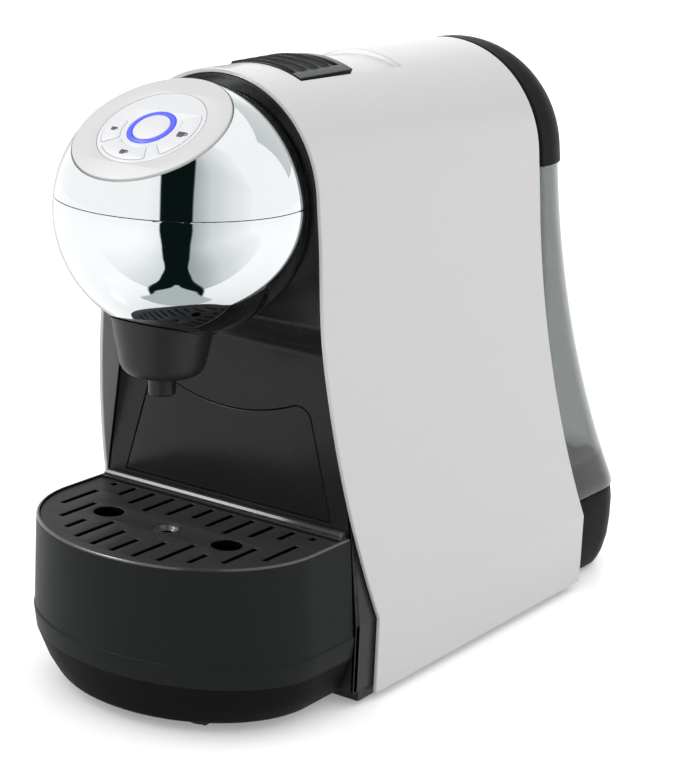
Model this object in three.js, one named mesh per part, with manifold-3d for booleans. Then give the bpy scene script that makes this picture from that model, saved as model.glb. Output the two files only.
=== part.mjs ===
// Pod coffee machine: a chrome ball head with a round keypad, an arched body shell,
// a drip tray, a used-pod bin, a sliding pod cover and a water tank at the back.
// Millimetres, +Z up, the front faces -Y. While modelling, y = 0 is the ball's centre;
// the exported group moves the machine so that its origin is the middle of its footprint.
import * as THREE from 'three';
import { mergeVertices } from 'three/addons/utils/BufferGeometryUtils.js';
import Module from 'manifold-3d';

const wasm = await Module();
wasm.setup();

// ---------- driving dimensions ----------
const GAP = 0.4;                 // clearance between neighbouring pieces
const FOOTPRINT_SHIFT = -128.85; // moves y = 0 from the ball's centre to the footprint's middle

const BALL_R = 55.5;             // chrome ball head
const BALL_Z = 224.9;
const BALL_WALL = 2;
const BALL_BACK_Y = 27.4;        // the ball is open behind this plane
const BALL_SEAM_Z = 230.2;
const BALL_SEAT_R = 50.2;        // hole for the ball in the front panel

const DISC_TILT = THREE.MathUtils.degToRad(30.3);
const DISC_TOP = 43.4;           // control disc's face, from the ball's centre
const DISC_R = 35;
const KEYPAD_R = 24;
const KEY_TRAVEL_ROOM = 2.2;     // free space under the keys

const ARCH_R = 56.2;             // arched body shell
const ARCH_Z = 226.9;
const SHELL_WALL = 2;
const SIDE_LEAN = THREE.MathUtils.degToRad(6.6);
const CREASE_Z = 40.6;           // the shell's sides are vertical below this height
const SHELL_BOTTOM = 4.2;
const LINING_INSET = SHELL_WALL + GAP;

const PANEL_HIGH_Y = 25.6;       // black front panel: face beside the ball, and below it
const PANEL_LOW_Y = 36.5;
const PANEL_WALL = 3;

const TRAY_PROFILE = [           // drip tray: height, half width, front depth, centre y
  [5.6, 65, 54, 15], [14, 70.5, 53.5, 11], [26, 74.4, 55, 8], [36, 75.3, 55.5, 7],
  [60, 73.4, 58, 7], [82, 71.4, 60.2, 6.9],
];
const TRAY_RIM = TRAY_PROFILE[TRAY_PROFILE.length - 1];
const TRAY_TOP = TRAY_RIM[0];
const TRAY_BACK_Y = 36.1;
const TRAY_WALL = 2.5;
const GRILLE_TOP = TRAY_TOP - 1;
const GRILLE_THICK = 2.6;

const BIN_BOTTOM = 86.4;         // used-pod bin
const BIN_TOP = 136;
const BIN_LOW_HALF = 59;
const BIN_HIGH_HALF = 46.5;
const BIN_BOX_HALF = 41.5;
const BIN_BACK_Y = 118;

const CUP_Y = -11;               // brew cup and spout below the ball
const CUP_R = 22.6;
const CUP_BOTTOM = 153.4;
const SPOUT_BOTTOM = 144.2;

const COVER_HALF_ANGLE = THREE.MathUtils.degToRad(23.3);
const COVER_Y = [52, 92];        // pod cover, at its closed place
const TRACK_HALF = 23.4;
const TRACK_Y = [51.3, 131.5];   // the opening in the shell that the cover runs in
const SLOT_HALF = 18;            // pod slot under the cover
const SLOT_Y = [56, 87];

const TANK_BOTTOM = 46.2;        // water tank, its black lid and the foot that it stands on
const TANK_TOP = 224.6;
const TANK_WALL = 2.4;
const LID_BOTTOM = 225.2;
const LID_FRONT_Y = 211.6;
const LID_BACK_Y = 254.5;
const REAR_CORNER = 34;
const VALVE_Y = 276;

const BREW_Z = 215;              // axis of the brew chamber, ram, screw and gear motor
const BREW_REST_Y = 93;          // the ram's front face when open

// ---------- materials ----------
function material(color, roughness, metalness = 0, extra = {}) {
  return new THREE.MeshStandardMaterial({ color, roughness, metalness, ...extra });
}
const paint = {
  shell: material(0xdedddb, 0.32),
  chrome: material(0xd8dadd, 0.06, 1),
  black: material(0x1f1f20, 0.45),
  glossBlack: material(0x151516, 0.18),
  trim: material(0xcfd1d3, 0.35),
  keypad: material(0xe9eaec, 0.4),
  light: material(0x4f6cff, 0.4, 0, { emissive: 0x3f5cff }),
  tank: material(0x8d9498, 0.08, 0, { transparent: true, opacity: 0.35 }),
  rubber: material(0x262626, 0.85),
  steel: material(0xa9abae, 0.3, 1),
  aluminium: material(0xb9bcbf, 0.4, 1),
  board: material(0x1f6a45, 0.6),
  frame: material(0x4a4c4f, 0.6),
  hose: material(0xe4e2dc, 0.5),
  pump: material(0xb98e3c, 0.4, 0.6),
};

// ---------- solids ----------
function isInsideOut(geometry) {
  const position = geometry.getAttribute('position');
  const index = geometry.getIndex().array;
  const [a, b, c] = [new THREE.Vector3(), new THREE.Vector3(), new THREE.Vector3()];
  let volume = 0;
  for (let i = 0; i < index.length; i += 3) {
    a.fromBufferAttribute(position, index[i]);
    b.fromBufferAttribute(position, index[i + 1]);
    c.fromBufferAttribute(position, index[i + 2]);
    volume += a.dot(b.cross(c));
  }
  return volume < 0;
}

function solid(source) {
  const geometry = source.clone();
  geometry.deleteAttribute('normal');
  geometry.deleteAttribute('uv');
  const merged = mergeVertices(geometry, 1e-4);
  const index = Uint32Array.from(merged.getIndex().array);
  if (isInsideOut(merged)) {
    for (let i = 0; i < index.length; i += 3) {
      [index[i + 1], index[i + 2]] = [index[i + 2], index[i + 1]];
    }
  }
  const vertProperties = Float32Array.from(merged.getAttribute('position').array);
  return new wasm.Manifold(new wasm.Mesh({ numProp: 3, vertProperties, triVerts: index }));
}

function geometryOf(manifold) {
  const mesh = manifold.getMesh();
  const geometry = new THREE.BufferGeometry();
  geometry.setAttribute('position', new THREE.BufferAttribute(mesh.vertProperties, 3));
  geometry.setIndex(new THREE.BufferAttribute(mesh.triVerts, 1));
  geometry.computeVertexNormals();
  return geometry;
}

function union(...solids) {
  return solids.reduce((whole, next) => whole.add(next));
}

function box([x0, x1], [y0, y1], [z0, z1]) {
  const geometry = new THREE.BoxGeometry(x1 - x0, y1 - y0, z1 - z0);
  geometry.translate((x0 + x1) / 2, (y0 + y1) / 2, (z0 + z1) / 2);
  return solid(geometry);
}

function cylinder(axis, radius, from, to, [u, v], segments = 20) {
  const geometry = new THREE.CylinderGeometry(radius, radius, to - from, segments);
  const middle = (from + to) / 2;
  if (axis === 'x') geometry.rotateZ(Math.PI / 2).translate(middle, u, v);
  if (axis === 'y') geometry.translate(u, middle, v);
  if (axis === 'z') geometry.rotateX(Math.PI / 2).translate(u, v, middle);
  return solid(geometry);
}

// A profile of [radius, height] turned about a vertical axis at (0, y).
function turned(profile, y, segments = 20) {
  const points = profile.map(([radius, height]) => new THREE.Vector2(radius, height));
  const geometry = new THREE.LatheGeometry(points, segments);
  geometry.rotateX(Math.PI / 2).translate(0, y, 0);
  return solid(geometry);
}

function shapeOf(points) {
  return new THREE.Shape(points.map(([u, v]) => new THREE.Vector2(u, v)));
}

function extruded(points, depth, holes = []) {
  const shape = shapeOf(points);
  shape.holes = holes.map(shapeOf);
  return new THREE.ExtrudeGeometry(shape, { depth, bevelEnabled: false });
}

// points are [x, y], stretched from z0 to z1
function standing(points, z0, z1, holes = []) {
  return solid(extruded(points, z1 - z0, holes).translate(0, 0, z0));
}

// points are [x, z], stretched from y0 to y1
function alongY(points, y0, y1) {
  return solid(extruded(points, y1 - y0).rotateX(Math.PI / 2).translate(0, y1, 0));
}

// points are [y, z], stretched over -half to half
function alongX(points, half) {
  const geometry = extruded(points, 2 * half);
  const turn = new THREE.Matrix4().makeBasis(
    new THREE.Vector3(0, 1, 0), new THREE.Vector3(0, 0, 1), new THREE.Vector3(1, 0, 0));
  return solid(geometry.applyMatrix4(turn).translate(-half, 0, 0));
}

// Closed skin over rings of equal point count, with flat convex ends.
function loft(rings) {
  const count = rings[0].length;
  const positions = rings.flat().flatMap((p) => [p.x, p.y, p.z]);
  const index = [];
  for (let r = 0; r < rings.length - 1; r++) {
    for (let i = 0; i < count; i++) {
      const j = (i + 1) % count;
      const [a, b, c, d] = [r * count + i, r * count + j, (r + 1) * count + i, (r + 1) * count + j];
      index.push(a, b, d, a, d, c);
    }
  }
  const top = (rings.length - 1) * count;
  for (let i = 1; i < count - 1; i++) {
    index.push(0, i + 1, i, top, top + i, top + i + 1);
  }
  const geometry = new THREE.BufferGeometry();
  geometry.setAttribute('position', new THREE.Float32BufferAttribute(positions, 3));
  geometry.setIndex(index);
  return solid(geometry);
}

function arc(cx, cy, radiusX, radiusY, fromDeg, toDeg, steps) {
  const points = [];
  for (let i = 0; i <= steps; i++) {
    const angle = THREE.MathUtils.degToRad(fromDeg + ((toDeg - fromDeg) * i) / steps);
    points.push([cx + radiusX * Math.cos(angle), cy + radiusY * Math.sin(angle)]);
  }
  return points;
}

function circle(cx, cy, radius, steps = 20) {
  return arc(cx, cy, radius, radius, 0, 360, steps).slice(0, -1);
}

function rod(points, radius, steps, sides = 8) {
  const path = new THREE.CatmullRomCurve3(points.map((p) => new THREE.Vector3(...p)));
  const geometry = new THREE.ExtrudeGeometry(shapeOf(circle(0, 0, radius, sides)),
    { steps, bevelEnabled: false, extrudePath: path });
  return solid(geometry);
}

// ---------- the body's outlines ----------
function sideHalfWidth(z, inset) {
  const tangentX = (ARCH_R - inset) * Math.cos(SIDE_LEAN);
  const tangentZ = ARCH_Z + (ARCH_R - inset) * Math.sin(SIDE_LEAN);
  return tangentX + Math.tan(SIDE_LEAN) * (tangentZ - Math.max(z, CREASE_Z));
}

// The arch seen from the front, down to zLow.
function archOutline(inset, zLow, steps = 28) {
  const lean = THREE.MathUtils.radToDeg(SIDE_LEAN);
  const crown = arc(0, ARCH_Z, ARCH_R - inset, ARCH_R - inset, lean, 180 - lean, steps);
  const side = [[sideHalfWidth(zLow, inset), zLow]];
  if (zLow < CREASE_Z) side.push([sideHalfWidth(CREASE_Z, inset), CREASE_Z]);
  const mirrored = side.map(([x, z]) => [-x, z]).reverse();
  return [...side, ...crown, ...mirrored];
}

function smoothStep(part) {
  const share = Math.min(Math.max(part, 0), 1);
  return share * share * (3 - 2 * share);
}

// The front edge steps back beside the ball and sweeps back below it.
function frontEdge(z) {
  const below = Math.max(200 - Math.max(z, CREASE_Z), 0);
  const above = Math.max(z - 226, 0);
  return 19.8 + below ** 2 / 790 + above * 0.024 + 3.1 * smoothStep((z - 165) / 55);
}

function rearEdge(z) {
  const straight = 195;
  if (z > straight) return 208 + (z - straight) * 0.03;
  return 208 + (straight - Math.max(z, CREASE_Z)) ** 2 / 686;
}

function heights(zLow, zHigh, steps) {
  return Array.from({ length: steps + 1 }, (_, i) => zLow + ((zHigh - zLow) * i) / steps);
}

// Side view between two y curves, as a block that cuts the arch to length.
function sideBlock(front, rear, zLow, zHigh, steps = 18) {
  const levels = [zLow, ...heights(Math.max(zLow, CREASE_Z), zHigh, steps)];
  const unique = levels.filter((z, i) => i === 0 || z > levels[i - 1]);
  const frontPoints = unique.map((z) => [front(z), z]);
  const rearPoints = unique.map((z) => [rear(z), z]).reverse();
  return alongX([...frontPoints, ...rearPoints], 90);
}

function archSheet(inset, wall, zLow, steps) {
  const outer = alongY(archOutline(inset, zLow, steps), 0, 300);
  const inner = alongY(archOutline(inset + wall, zLow - 10, steps), -10, 310);
  return outer.subtract(inner);
}

function sector(r0, r1, halfAngle, y0, y1, steps = 10) {
  const degrees = THREE.MathUtils.radToDeg(halfAngle);
  const outer = arc(0, ARCH_Z, r1, r1, 90 - degrees, 90 + degrees, steps);
  const inner = arc(0, ARCH_Z, r0, r0, 90 + degrees, 90 - degrees, steps);
  return alongY([...outer, ...inner], y0, y1);
}

// ---------- body ----------
function outerShell() {
  const opening = box([-TRACK_HALF, TRACK_HALF], TRACK_Y, [250, 300]);
  return archSheet(0, SHELL_WALL, SHELL_BOTTOM, 24)
    .intersect(sideBlock(frontEdge, rearEdge, SHELL_BOTTOM - 1, 300))
    .subtract(opening);
}

function panelFace(z) {
  const [high, low] = [178, 160];
  if (z >= high) return PANEL_HIGH_Y;
  if (z <= low) return PANEL_LOW_Y;
  const part = (high - z) / (high - low);
  return PANEL_HIGH_Y + (PANEL_LOW_Y - PANEL_HIGH_Y) * part * part * (3 - 2 * part);
}

function binFrontOutline(grow) {
  const corner = 7 + grow;
  const smile = [-1, -0.6, -0.2, 0.2, 0.6, 1].map((part) => {
    const x = part * (BIN_HIGH_HALF - 9);
    return [-x, BIN_TOP + grow - 8 * (1 - part * part)];
  });
  const half = BIN_HIGH_HALF + grow;
  const right = arc(half - corner, BIN_TOP + grow - corner, corner, corner, 10, 80, 3);
  const left = right.map(([x, z]) => [-x, z]).reverse();
  const low = BIN_LOW_HALF + grow;
  return [[-low, BIN_BOTTOM - grow], [low, BIN_BOTTOM - grow], ...right, ...smile, ...left];
}

function frontPanel() {
  const levels = [8.4, ...heights(150, 182, 6), 300];
  const face = levels.map((z) => [panelFace(z), z]);
  const back = levels.map((z) => [panelFace(z) + PANEL_WALL, z]).reverse();
  const inside = alongY(archOutline(LINING_INSET, 8.4, 20), 0, 120);
  const plate = alongX([...face, ...back], 90).intersect(inside);
  const besideBall = (z) => smoothStep((z - 158) / 22);
  const liningFront = (z) => PANEL_LOW_Y + (frontEdge(z) + 0.8 - PANEL_LOW_Y) * besideBall(z);
  const lining = archSheet(LINING_INSET, 1.8, 8.4, 20)
    .intersect(sideBlock(liningFront, () => 58, 8, 300));
  const ballSeat = cylinder('y', BALL_SEAT_R, 0, 28, [0, BALL_Z], 32);
  const duct = cylinder('y', 9, 0, 60, [0, BREW_Z], 16);
  const binDoor = alongY(binFrontOutline(0.7), 0, 60);
  const trackRoom = sector(50, 60, THREE.MathUtils.degToRad(40), 44, 80);
  return union(plate, lining).subtract(union(ballSeat, duct)).subtract(binDoor).subtract(trackRoom);
}

const HOSE_HOLE = [24, 15];      // where the inlet hose crosses the rear panel
const HOSE_HOLE_R = 4.5;

function rearPanel() {
  const face = (z) => rearEdge(z) - 1;
  const inside = alongY(archOutline(LINING_INSET, 8.4, 20), 150, 300);
  const hoseHole = cylinder('y', HOSE_HOLE_R, 200, 300, HOSE_HOLE, 12);
  return sideBlock((z) => face(z) - 2.5, face, 8.4, 300).intersect(inside).subtract(hoseHole);
}

const BASE_SCREWS = [[-38, 75], [38, 75], [-38, 165], [38, 165]];
const REAR_SCREWS = [[-28, 262], [28, 262]];
const FEET = [[-29, -14], [29, -14], [-48, 276], [48, 276]];
const FOOT_R = 7;

function baseChassis() {
  const tongue = box([-38, 38], [-23, 45], [2.6, 5.2]);
  const floor = box([-74.5, 74.5], [42.5, 238], [2.6, 8]);
  const heel = box([-60, 60], [230, 289], [2.6, 8]);
  const footRooms = FEET.map(([x, y]) => cylinder('z', FOOT_R + GAP, 0, 3.9, [x, y], 16));
  const screws = [...BASE_SCREWS, ...REAR_SCREWS].map(([x, y]) => union(
    cylinder('z', 1.9, 0, 12, [x, y], 10), cylinder('z', 4, 0, 5.2, [x, y], 10)));
  return union(tongue, floor, heel).subtract(union(...footRooms, ...screws));
}

function foot([x, y]) {
  const geometry = new THREE.CylinderGeometry(FOOT_R, FOOT_R - 0.8, 3.5, 16);
  return solid(geometry.rotateX(Math.PI / 2).translate(x, y, 1.75));
}

function screw([x, y]) {
  const head = cylinder('z', 3.4, 3.2, 4.8, [x, y], 10);
  const cross = box([x - 2, x + 2], [y - 0.4, y + 0.4], [3, 3.9]);
  return union(head, cylinder('z', 1.5, 4.6, 14, [x, y], 10)).subtract(cross);
}

// ---------- drip tray ----------
// Plan outline at one height: an elliptical front and straight sides back to TRAY_BACK_Y.
function trayOutline([, half, depth, centre], inset, backInset = inset, steps = 20) {
  const front = arc(0, centre, half - inset, depth - inset, 180, 360, steps);
  const back = TRAY_BACK_Y - backInset;
  return [...front, [half - inset, back], [inset - half, back]];
}

function trayRing(row, lift, inset) {
  return trayOutline(row, inset).map(([x, y]) => new THREE.Vector3(x, y, row[0] + lift));
}

function dripTray() {
  const outer = loft(TRAY_PROFILE.map((row) => trayRing(row, 0, 0)));
  const inner = loft(TRAY_PROFILE.map((row) => trayRing(row, TRAY_WALL, TRAY_WALL)));
  const grilleRoom = standing(trayOutline(TRAY_RIM, 1.4, 5.6), GRILLE_TOP - GRILLE_THICK - GAP, 90);
  const ledge = standing(trayOutline(TRAY_RIM, 0.8, 1), GRILLE_TOP - GRILLE_THICK - 4, TRAY_TOP)
    .subtract(standing(trayOutline(TRAY_RIM, 5), 60, 90));
  const ridge = alongX([[31.3, TRAY_TOP - 5], [35.8, TRAY_TOP - 5], [35.8, TRAY_TOP + 1.8],
    [34.6, TRAY_TOP + 2.6], [32.6, TRAY_TOP + 2.6], [31.3, TRAY_TOP + 1.4]], 68.6);
  return outer.subtract(inner).add(ledge).subtract(grilleRoom).add(ridge);
}

const SLOT_PITCH = 11.5;
const SLOT_WIDTH = 2.6;
const REAR_SLOT_END = 28.2;
const GRILLE_SLOTS = [           // outwards from the middle: front row from and to, rear row from
  [-43.9, -25.5, 13], [-43.2, -20.5, 8.4], [-40.3, -14.5, 5.6], [-33.8, -20.5, 9.5],
  [-24.5, -0.4, 15.5], [-10.5, 14.3, 24.2],
];
const DRIP_HOLES = [[-33.7, 7], [33.7, 7]];
const DRIP_HOLE_Y = -5.5;
const CENTRE_HOLE = [5.6, 3.8];  // funnel: radius at the grille's top and underside

function slotHoles() {
  const half = SLOT_WIDTH / 2;
  const slot = (x, y0, y1) => box([x - half, x + half], [y0, y1], [70, 90]);
  return GRILLE_SLOTS.flatMap(([from, to, rearFrom], i) => {
    const places = i === 0 ? [0] : [-i * SLOT_PITCH, i * SLOT_PITCH];
    return places.flatMap((x) => [slot(x, from, to), slot(x, rearFrom, REAR_SLOT_END)]);
  });
}

function dripGrille() {
  const low = GRILLE_TOP - GRILLE_THICK;
  const plate = standing(trayOutline(TRAY_RIM, 1.9, 6.1), low, GRILLE_TOP);
  const holes = DRIP_HOLES.map(([x, r]) => cylinder('z', r, 70, 90, [x, DRIP_HOLE_Y], 20));
  const [wide, narrow] = CENTRE_HOLE;
  const slope = (wide - narrow) / GRILLE_THICK;
  const funnel = turned([[0, low - 1], [narrow - slope, low - 1], [wide + slope, GRILLE_TOP + 1],
    [0, GRILLE_TOP + 1]], DRIP_HOLE_Y);
  return plate.subtract(union(...holes, funnel, ...slotHoles()));
}

// ---------- used-pod bin ----------
function podBin() {
  const front = alongY(binFrontOutline(0), PANEL_LOW_Y, PANEL_LOW_Y + PANEL_WALL);
  const outer = box([-BIN_BOX_HALF, BIN_BOX_HALF], [PANEL_LOW_Y + 1, BIN_BACK_Y], [BIN_BOTTOM, 124]);
  const inner = box([2 - BIN_BOX_HALF, BIN_BOX_HALF - 2],
    [PANEL_LOW_Y + PANEL_WALL, BIN_BACK_Y - 2], [BIN_BOTTOM + 2, 160]);
  return front.add(outer).subtract(inner);
}

// ---------- ball head ----------
function ball(radius, segments = 28) {
  const profile = arc(0, BALL_Z, radius, radius, -90, 90, segments / 2);
  profile[0][0] = 0;
  profile[profile.length - 1][0] = 0;
  return turned(profile, 0, segments);
}

function discFrame(geometrySolid) {
  const geometry = geometryOf(geometrySolid);
  geometry.rotateX(DISC_TILT).translate(0, 0, BALL_Z);
  return solid(geometry);
}

function ballShell() {
  const cap = discFrame(cylinder('z', DISC_R + GAP, 20, 90, [0, 0], 32));
  const back = box([-60, 60], [BALL_BACK_Y, 80], [150, 300]);
  return ball(BALL_R).subtract(ball(BALL_R - BALL_WALL)).subtract(cap).subtract(back);
}

function headUpper() {
  return ballShell().subtract(box([-60, 60], [-60, 60], [100, BALL_SEAM_Z + 0.25]));
}

function headLower() {
  const outlet = cylinder('z', 14, 150, 200, [0, CUP_Y], 20);
  return ballShell().subtract(box([-60, 60], [-60, 60], [BALL_SEAM_Z - 0.25, 300])).subtract(outlet);
}

function headFrame() {
  const plate = cylinder('y', 44.8, BALL_BACK_Y - 3.2, BALL_BACK_Y - 0.2, [0, BALL_Z], 24);
  const cap = discFrame(cylinder('z', 60, DISC_TOP - 12, 90, [0, 0], 24));
  const arm = box([-9, 9], [-20, BALL_BACK_Y - 2], [196, 201]);
  const web = box([-2, 2], [2, BALL_BACK_Y - 2], [185, 197]);
  const tubeRoom = union(cylinder('y', 5, 0, 60, [0, BREW_Z], 12),
    cylinder('z', 5, 150, 240, [0, CUP_Y], 12));
  return union(plate, arm, web).subtract(cap).subtract(tubeRoom);
}

function brewCup() {
  const up = (height) => CUP_BOTTOM + height;
  const outer = [[0, up(0)], [12, up(0)], [16.4, up(1.6)], [18.6, up(4.8)], [19.4, up(9)],
    [CUP_R, up(24)], [CUP_R + 0.6, up(42)], [0, up(42)]];
  const inner = [[0, up(3.2)], [11, up(3.2)], [15.4, up(5.6)], [17, up(9.6)],
    [CUP_R - 2.6, up(24)], [CUP_R - 2, up(44)], [0, up(44)]];
  const bore = cylinder('z', 4.4, CUP_BOTTOM - 5, up(8), [0, CUP_Y], 14);
  return turned(outer, CUP_Y).subtract(turned(inner, CUP_Y)).subtract(bore)
    .subtract(ball(BALL_R + GAP));
}

function spoutNozzle() {
  const shoulder = CUP_BOTTOM - GAP;
  const top = CUP_BOTTOM + 8;
  const profile = [[2, SPOUT_BOTTOM], [5.4, SPOUT_BOTTOM], [6.1, SPOUT_BOTTOM + 1], [6.1, shoulder],
    [4, shoulder], [4, top], [2, top], [2, SPOUT_BOTTOM]];
  return turned(profile, CUP_Y, 14);
}

function outletTube() {
  return rod([[0, 43, BREW_Z], [0, 22, BREW_Z], [0, 2, BREW_Z - 1], [0, CUP_Y + 1, 206],
    [0, CUP_Y, 192], [0, CUP_Y, 166]], 3, 12, 6);
}

// ---------- control disc, in its own tilted frame with z along the disc's normal ----------
const KEYS = [                  // name, middle angle, half width in degrees
  ['key_left', 197, 23], ['key_front', 261, 36], ['key_right', 354, 39],
];
const KEY_RADII = [13.8, 22];

function keyOutline(middle, half, grow) {
  const [r0, r1] = [KEY_RADII[0] - grow, KEY_RADII[1] + grow];
  const spread = (r) => half + THREE.MathUtils.radToDeg(grow / r);
  const outer = arc(0, 0, r1, r1, middle - spread(r1), middle + spread(r1), 8);
  const inner = arc(0, 0, r0, r0, middle + spread(r0), middle - spread(r0), 6);
  return [...outer, ...inner];
}

function controlRing() {
  return standing(circle(0, 0, DISC_R, 32), DISC_TOP - 2, DISC_TOP, [circle(0, 0, KEYPAD_R + 0.4, 32)]);
}

function keypadFrame() {
  const holes = KEYS.map(([, middle, half]) => keyOutline(middle, half, 0.35));
  return standing(circle(0, 0, KEYPAD_R, 32), DISC_TOP - 2, DISC_TOP - 0.1,
    [circle(0, 0, 11.6, 20), ...holes]);
}

function key(middle, half) {
  return standing(keyOutline(middle, half, 0), DISC_TOP - 3.4, DISC_TOP + 0.1);
}

function lightRing() {
  return standing(circle(0, 0, 11.2, 20), DISC_TOP - 2.4, DISC_TOP + 0.1, [circle(0, 0, 8.4, 20)]);
}

function powerButton() {
  return standing(circle(0, 0, 7.9, 20), DISC_TOP - 3.4, DISC_TOP + 0.2);
}

function keypadBoard() {
  const top = DISC_TOP - 3.4 - KEY_TRAVEL_ROOM;
  return standing(circle(0, 0, 27, 20), top - 1.6, top);
}

// ---------- pod slot and cover ----------
function podTrack() {
  const slot = box([-SLOT_HALF, SLOT_HALF], SLOT_Y, [240, 300]);
  const wide = THREE.MathUtils.degToRad(36);
  return sector(51.6, ARCH_R - SHELL_WALL - GAP, wide, TRACK_Y[0] - 4, TRACK_Y[1] + 4, 14).subtract(slot);
}

function podCover() {
  const plate = sector(54.2, 56.6, COVER_HALF_ANGLE, COVER_Y[0], COVER_Y[1]);
  const ribs = [58, 69, 80, 89.7].map((y) =>
    sector(56, 58.1, COVER_HALF_ANGLE, y - 2.2, y + 2.2));
  return union(plate, ...ribs);
}

function podChute() {
  const outer = box([-SLOT_HALF - 2.5, SLOT_HALF + 2.5], [SLOT_Y[0] - 2.5, SLOT_Y[1] + 2.5], [243, 272]);
  const inner = box([-SLOT_HALF, SLOT_HALF], SLOT_Y, [200, 300]);
  const roof = alongY(archOutline(ARCH_R - 51.2, 200, 28), 40, 120);
  return outer.subtract(inner).intersect(roof);
}

// ---------- water tank ----------
function tankHalf(z) {
  return 56.2 + (218 - z) * 0.1;
}

function tankBack(z) {
  return LID_BACK_Y + Math.max(222 - z, 0) ** 2 / 580;
}

// The tank's front follows the shell's rear edge and clears the arch when it is lifted.
function tankFront(z) {
  return Math.max(rearEdge(z) + 1.4, LID_FRONT_Y);
}

// Plan ring with small front corners and wide rear corners.
function roundedRing(z, half, front, back, frontCorner, rearCorner) {
  const corners = [
    arc(half - rearCorner, back - rearCorner, rearCorner, rearCorner, 0, 90, 5),
    arc(rearCorner - half, back - rearCorner, rearCorner, rearCorner, 90, 180, 5),
    arc(frontCorner - half, front + frontCorner, frontCorner, frontCorner, 180, 270, 2),
    arc(half - frontCorner, front + frontCorner, frontCorner, frontCorner, 270, 360, 2),
  ];
  return corners.flat().map(([x, y]) => new THREE.Vector3(x, y, z));
}

function tankRing(z, inset) {
  return roundedRing(z, tankHalf(z) - inset, tankFront(z) + inset, tankBack(z) - inset, 4,
    REAR_CORNER - inset);
}

const HINGE = { y: LID_BACK_Y + 3.6, z: 223.6, pinR: 1.2, boreR: 1.6, knuckleR: 3 };

function hingeKnuckle(from, to, reach) {
  const barrel = cylinder('x', HINGE.knuckleR, from, to, [HINGE.y, HINGE.z], 12);
  return barrel.add(box([from, to], reach[0], reach[1]));
}

function hingeBore() {
  return cylinder('x', HINGE.boreR, -60, 60, [HINGE.y, HINGE.z], 12);
}

function waterTank() {
  const levels = heights(TANK_BOTTOM, TANK_TOP, 6);
  const outer = loft(levels.map((z) => tankRing(z, 0)));
  const inner = loft([TANK_BOTTOM + 3, ...levels.slice(1, -1), TANK_TOP + 2]
    .map((z) => tankRing(z, TANK_WALL)));
  const valveHole = cylinder('z', 8.4, 30, 60, [0, VALVE_Y], 16);
  const knuckle = hingeKnuckle(-7, 7, [[LID_BACK_Y - 1, HINGE.y], [HINGE.z - 3, HINGE.z]]);
  return outer.add(knuckle).subtract(inner).subtract(valveHole).subtract(hingeBore());
}

function lidSection(y, inset, zLow) {
  const round = Math.max(y - (LID_BACK_Y - REAR_CORNER), 0);
  const pull = REAR_CORNER - Math.sqrt(Math.max(REAR_CORNER ** 2 - round ** 2, 0));
  return archOutline(inset + pull, zLow, 16).map(([x, z]) => new THREE.Vector3(x, y, z));
}

function lidBody(inset, zLow) {
  const start = LID_BACK_Y - REAR_CORNER;
  const sweep = [0, 22, 44, 64, 80].map((deg) =>
    start + (REAR_CORNER - inset) * Math.sin(THREE.MathUtils.degToRad(deg)));
  return loft([LID_FRONT_Y + inset, ...sweep].map((y) => lidSection(y, inset, zLow)));
}

function tankLid() {
  const ears = [[-22, -7.5], [7.5, 22]].map(([from, to]) => hingeKnuckle(from, to,
    [[LID_BACK_Y - 4, HINGE.y - 0.2], [LID_BOTTOM, HINGE.z + HINGE.knuckleR]]));
  return lidBody(0, LID_BOTTOM).subtract(lidBody(2.2, LID_BOTTOM - 1)).add(union(...ears))
    .subtract(hingeBore());
}

function hingePin() {
  return cylinder('x', HINGE.pinR, -21.5, 21.5, [HINGE.y, HINGE.z], 12);
}

function tankValve() {
  const profile = [[2.4, 36], [7.4, 36], [8, 37], [8, TANK_BOTTOM + 3.3], [11.5, TANK_BOTTOM + 3.3],
    [11.5, TANK_BOTTOM + 5.5], [5, TANK_BOTTOM + 11], [2.4, TANK_BOTTOM + 11], [2.4, 36]];
  return turned(profile, VALVE_Y, 16);
}

const GLAND = { x: -30, y: 304, z: 14 };

const REAR_BASE_PROFILE = [      // height, half width, back
  [3, 68.5, 304.5], [9, 70.8, 306], [17, 72.4, 307.3], [27, 73, 307.8], [38, 73, 307.8],
  [TANK_BOTTOM - GAP, 72.2, 306.8],
];

function rearBaseRing(z, half, back, inset) {
  return roundedRing(z, half - inset, 244.6 + inset, back - inset, 4, REAR_CORNER - inset);
}

function rearBase() {
  const outer = loft(REAR_BASE_PROFILE.map(([z, half, back]) => rearBaseRing(z, half, back, 0)));
  const inner = loft(REAR_BASE_PROFILE.map(([z, half, back], i) =>
    rearBaseRing(i === 0 ? z - 1 : z - 2.6, half, back, 2.6)));
  const bosses = REAR_SCREWS.map((at) => cylinder('z', 5, 8.4, 44, at, 12));
  const screwHoles = REAR_SCREWS.map((at) => cylinder('z', 1.9, 0, 22, at, 10));
  const valveHole = cylinder('z', 14, 30, 60, [0, VALVE_Y], 20);
  const glandHole = cylinder('y', 5.9, 300, 330, [GLAND.x, GLAND.z], 12);
  const baseNotch = box([-60.6, 60.6], [240, 250], [0, 8.4]);
  const hoseNotch = box([HOSE_HOLE[0] - 14, HOSE_HOLE[0] + 8], [240, 252], [0, 21]);
  return outer.subtract(inner).add(union(...bosses))
    .subtract(union(...screwHoles, valveHole, glandHole, baseNotch, hoseNotch));
}

function valveSocket() {
  const profile = [[3, 31], [13.6, 31], [13.6, 45.6], [8.5, 45.6], [8.5, 35], [3, 35], [3, 31]];
  return turned(profile, VALVE_Y, 20);
}

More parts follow.
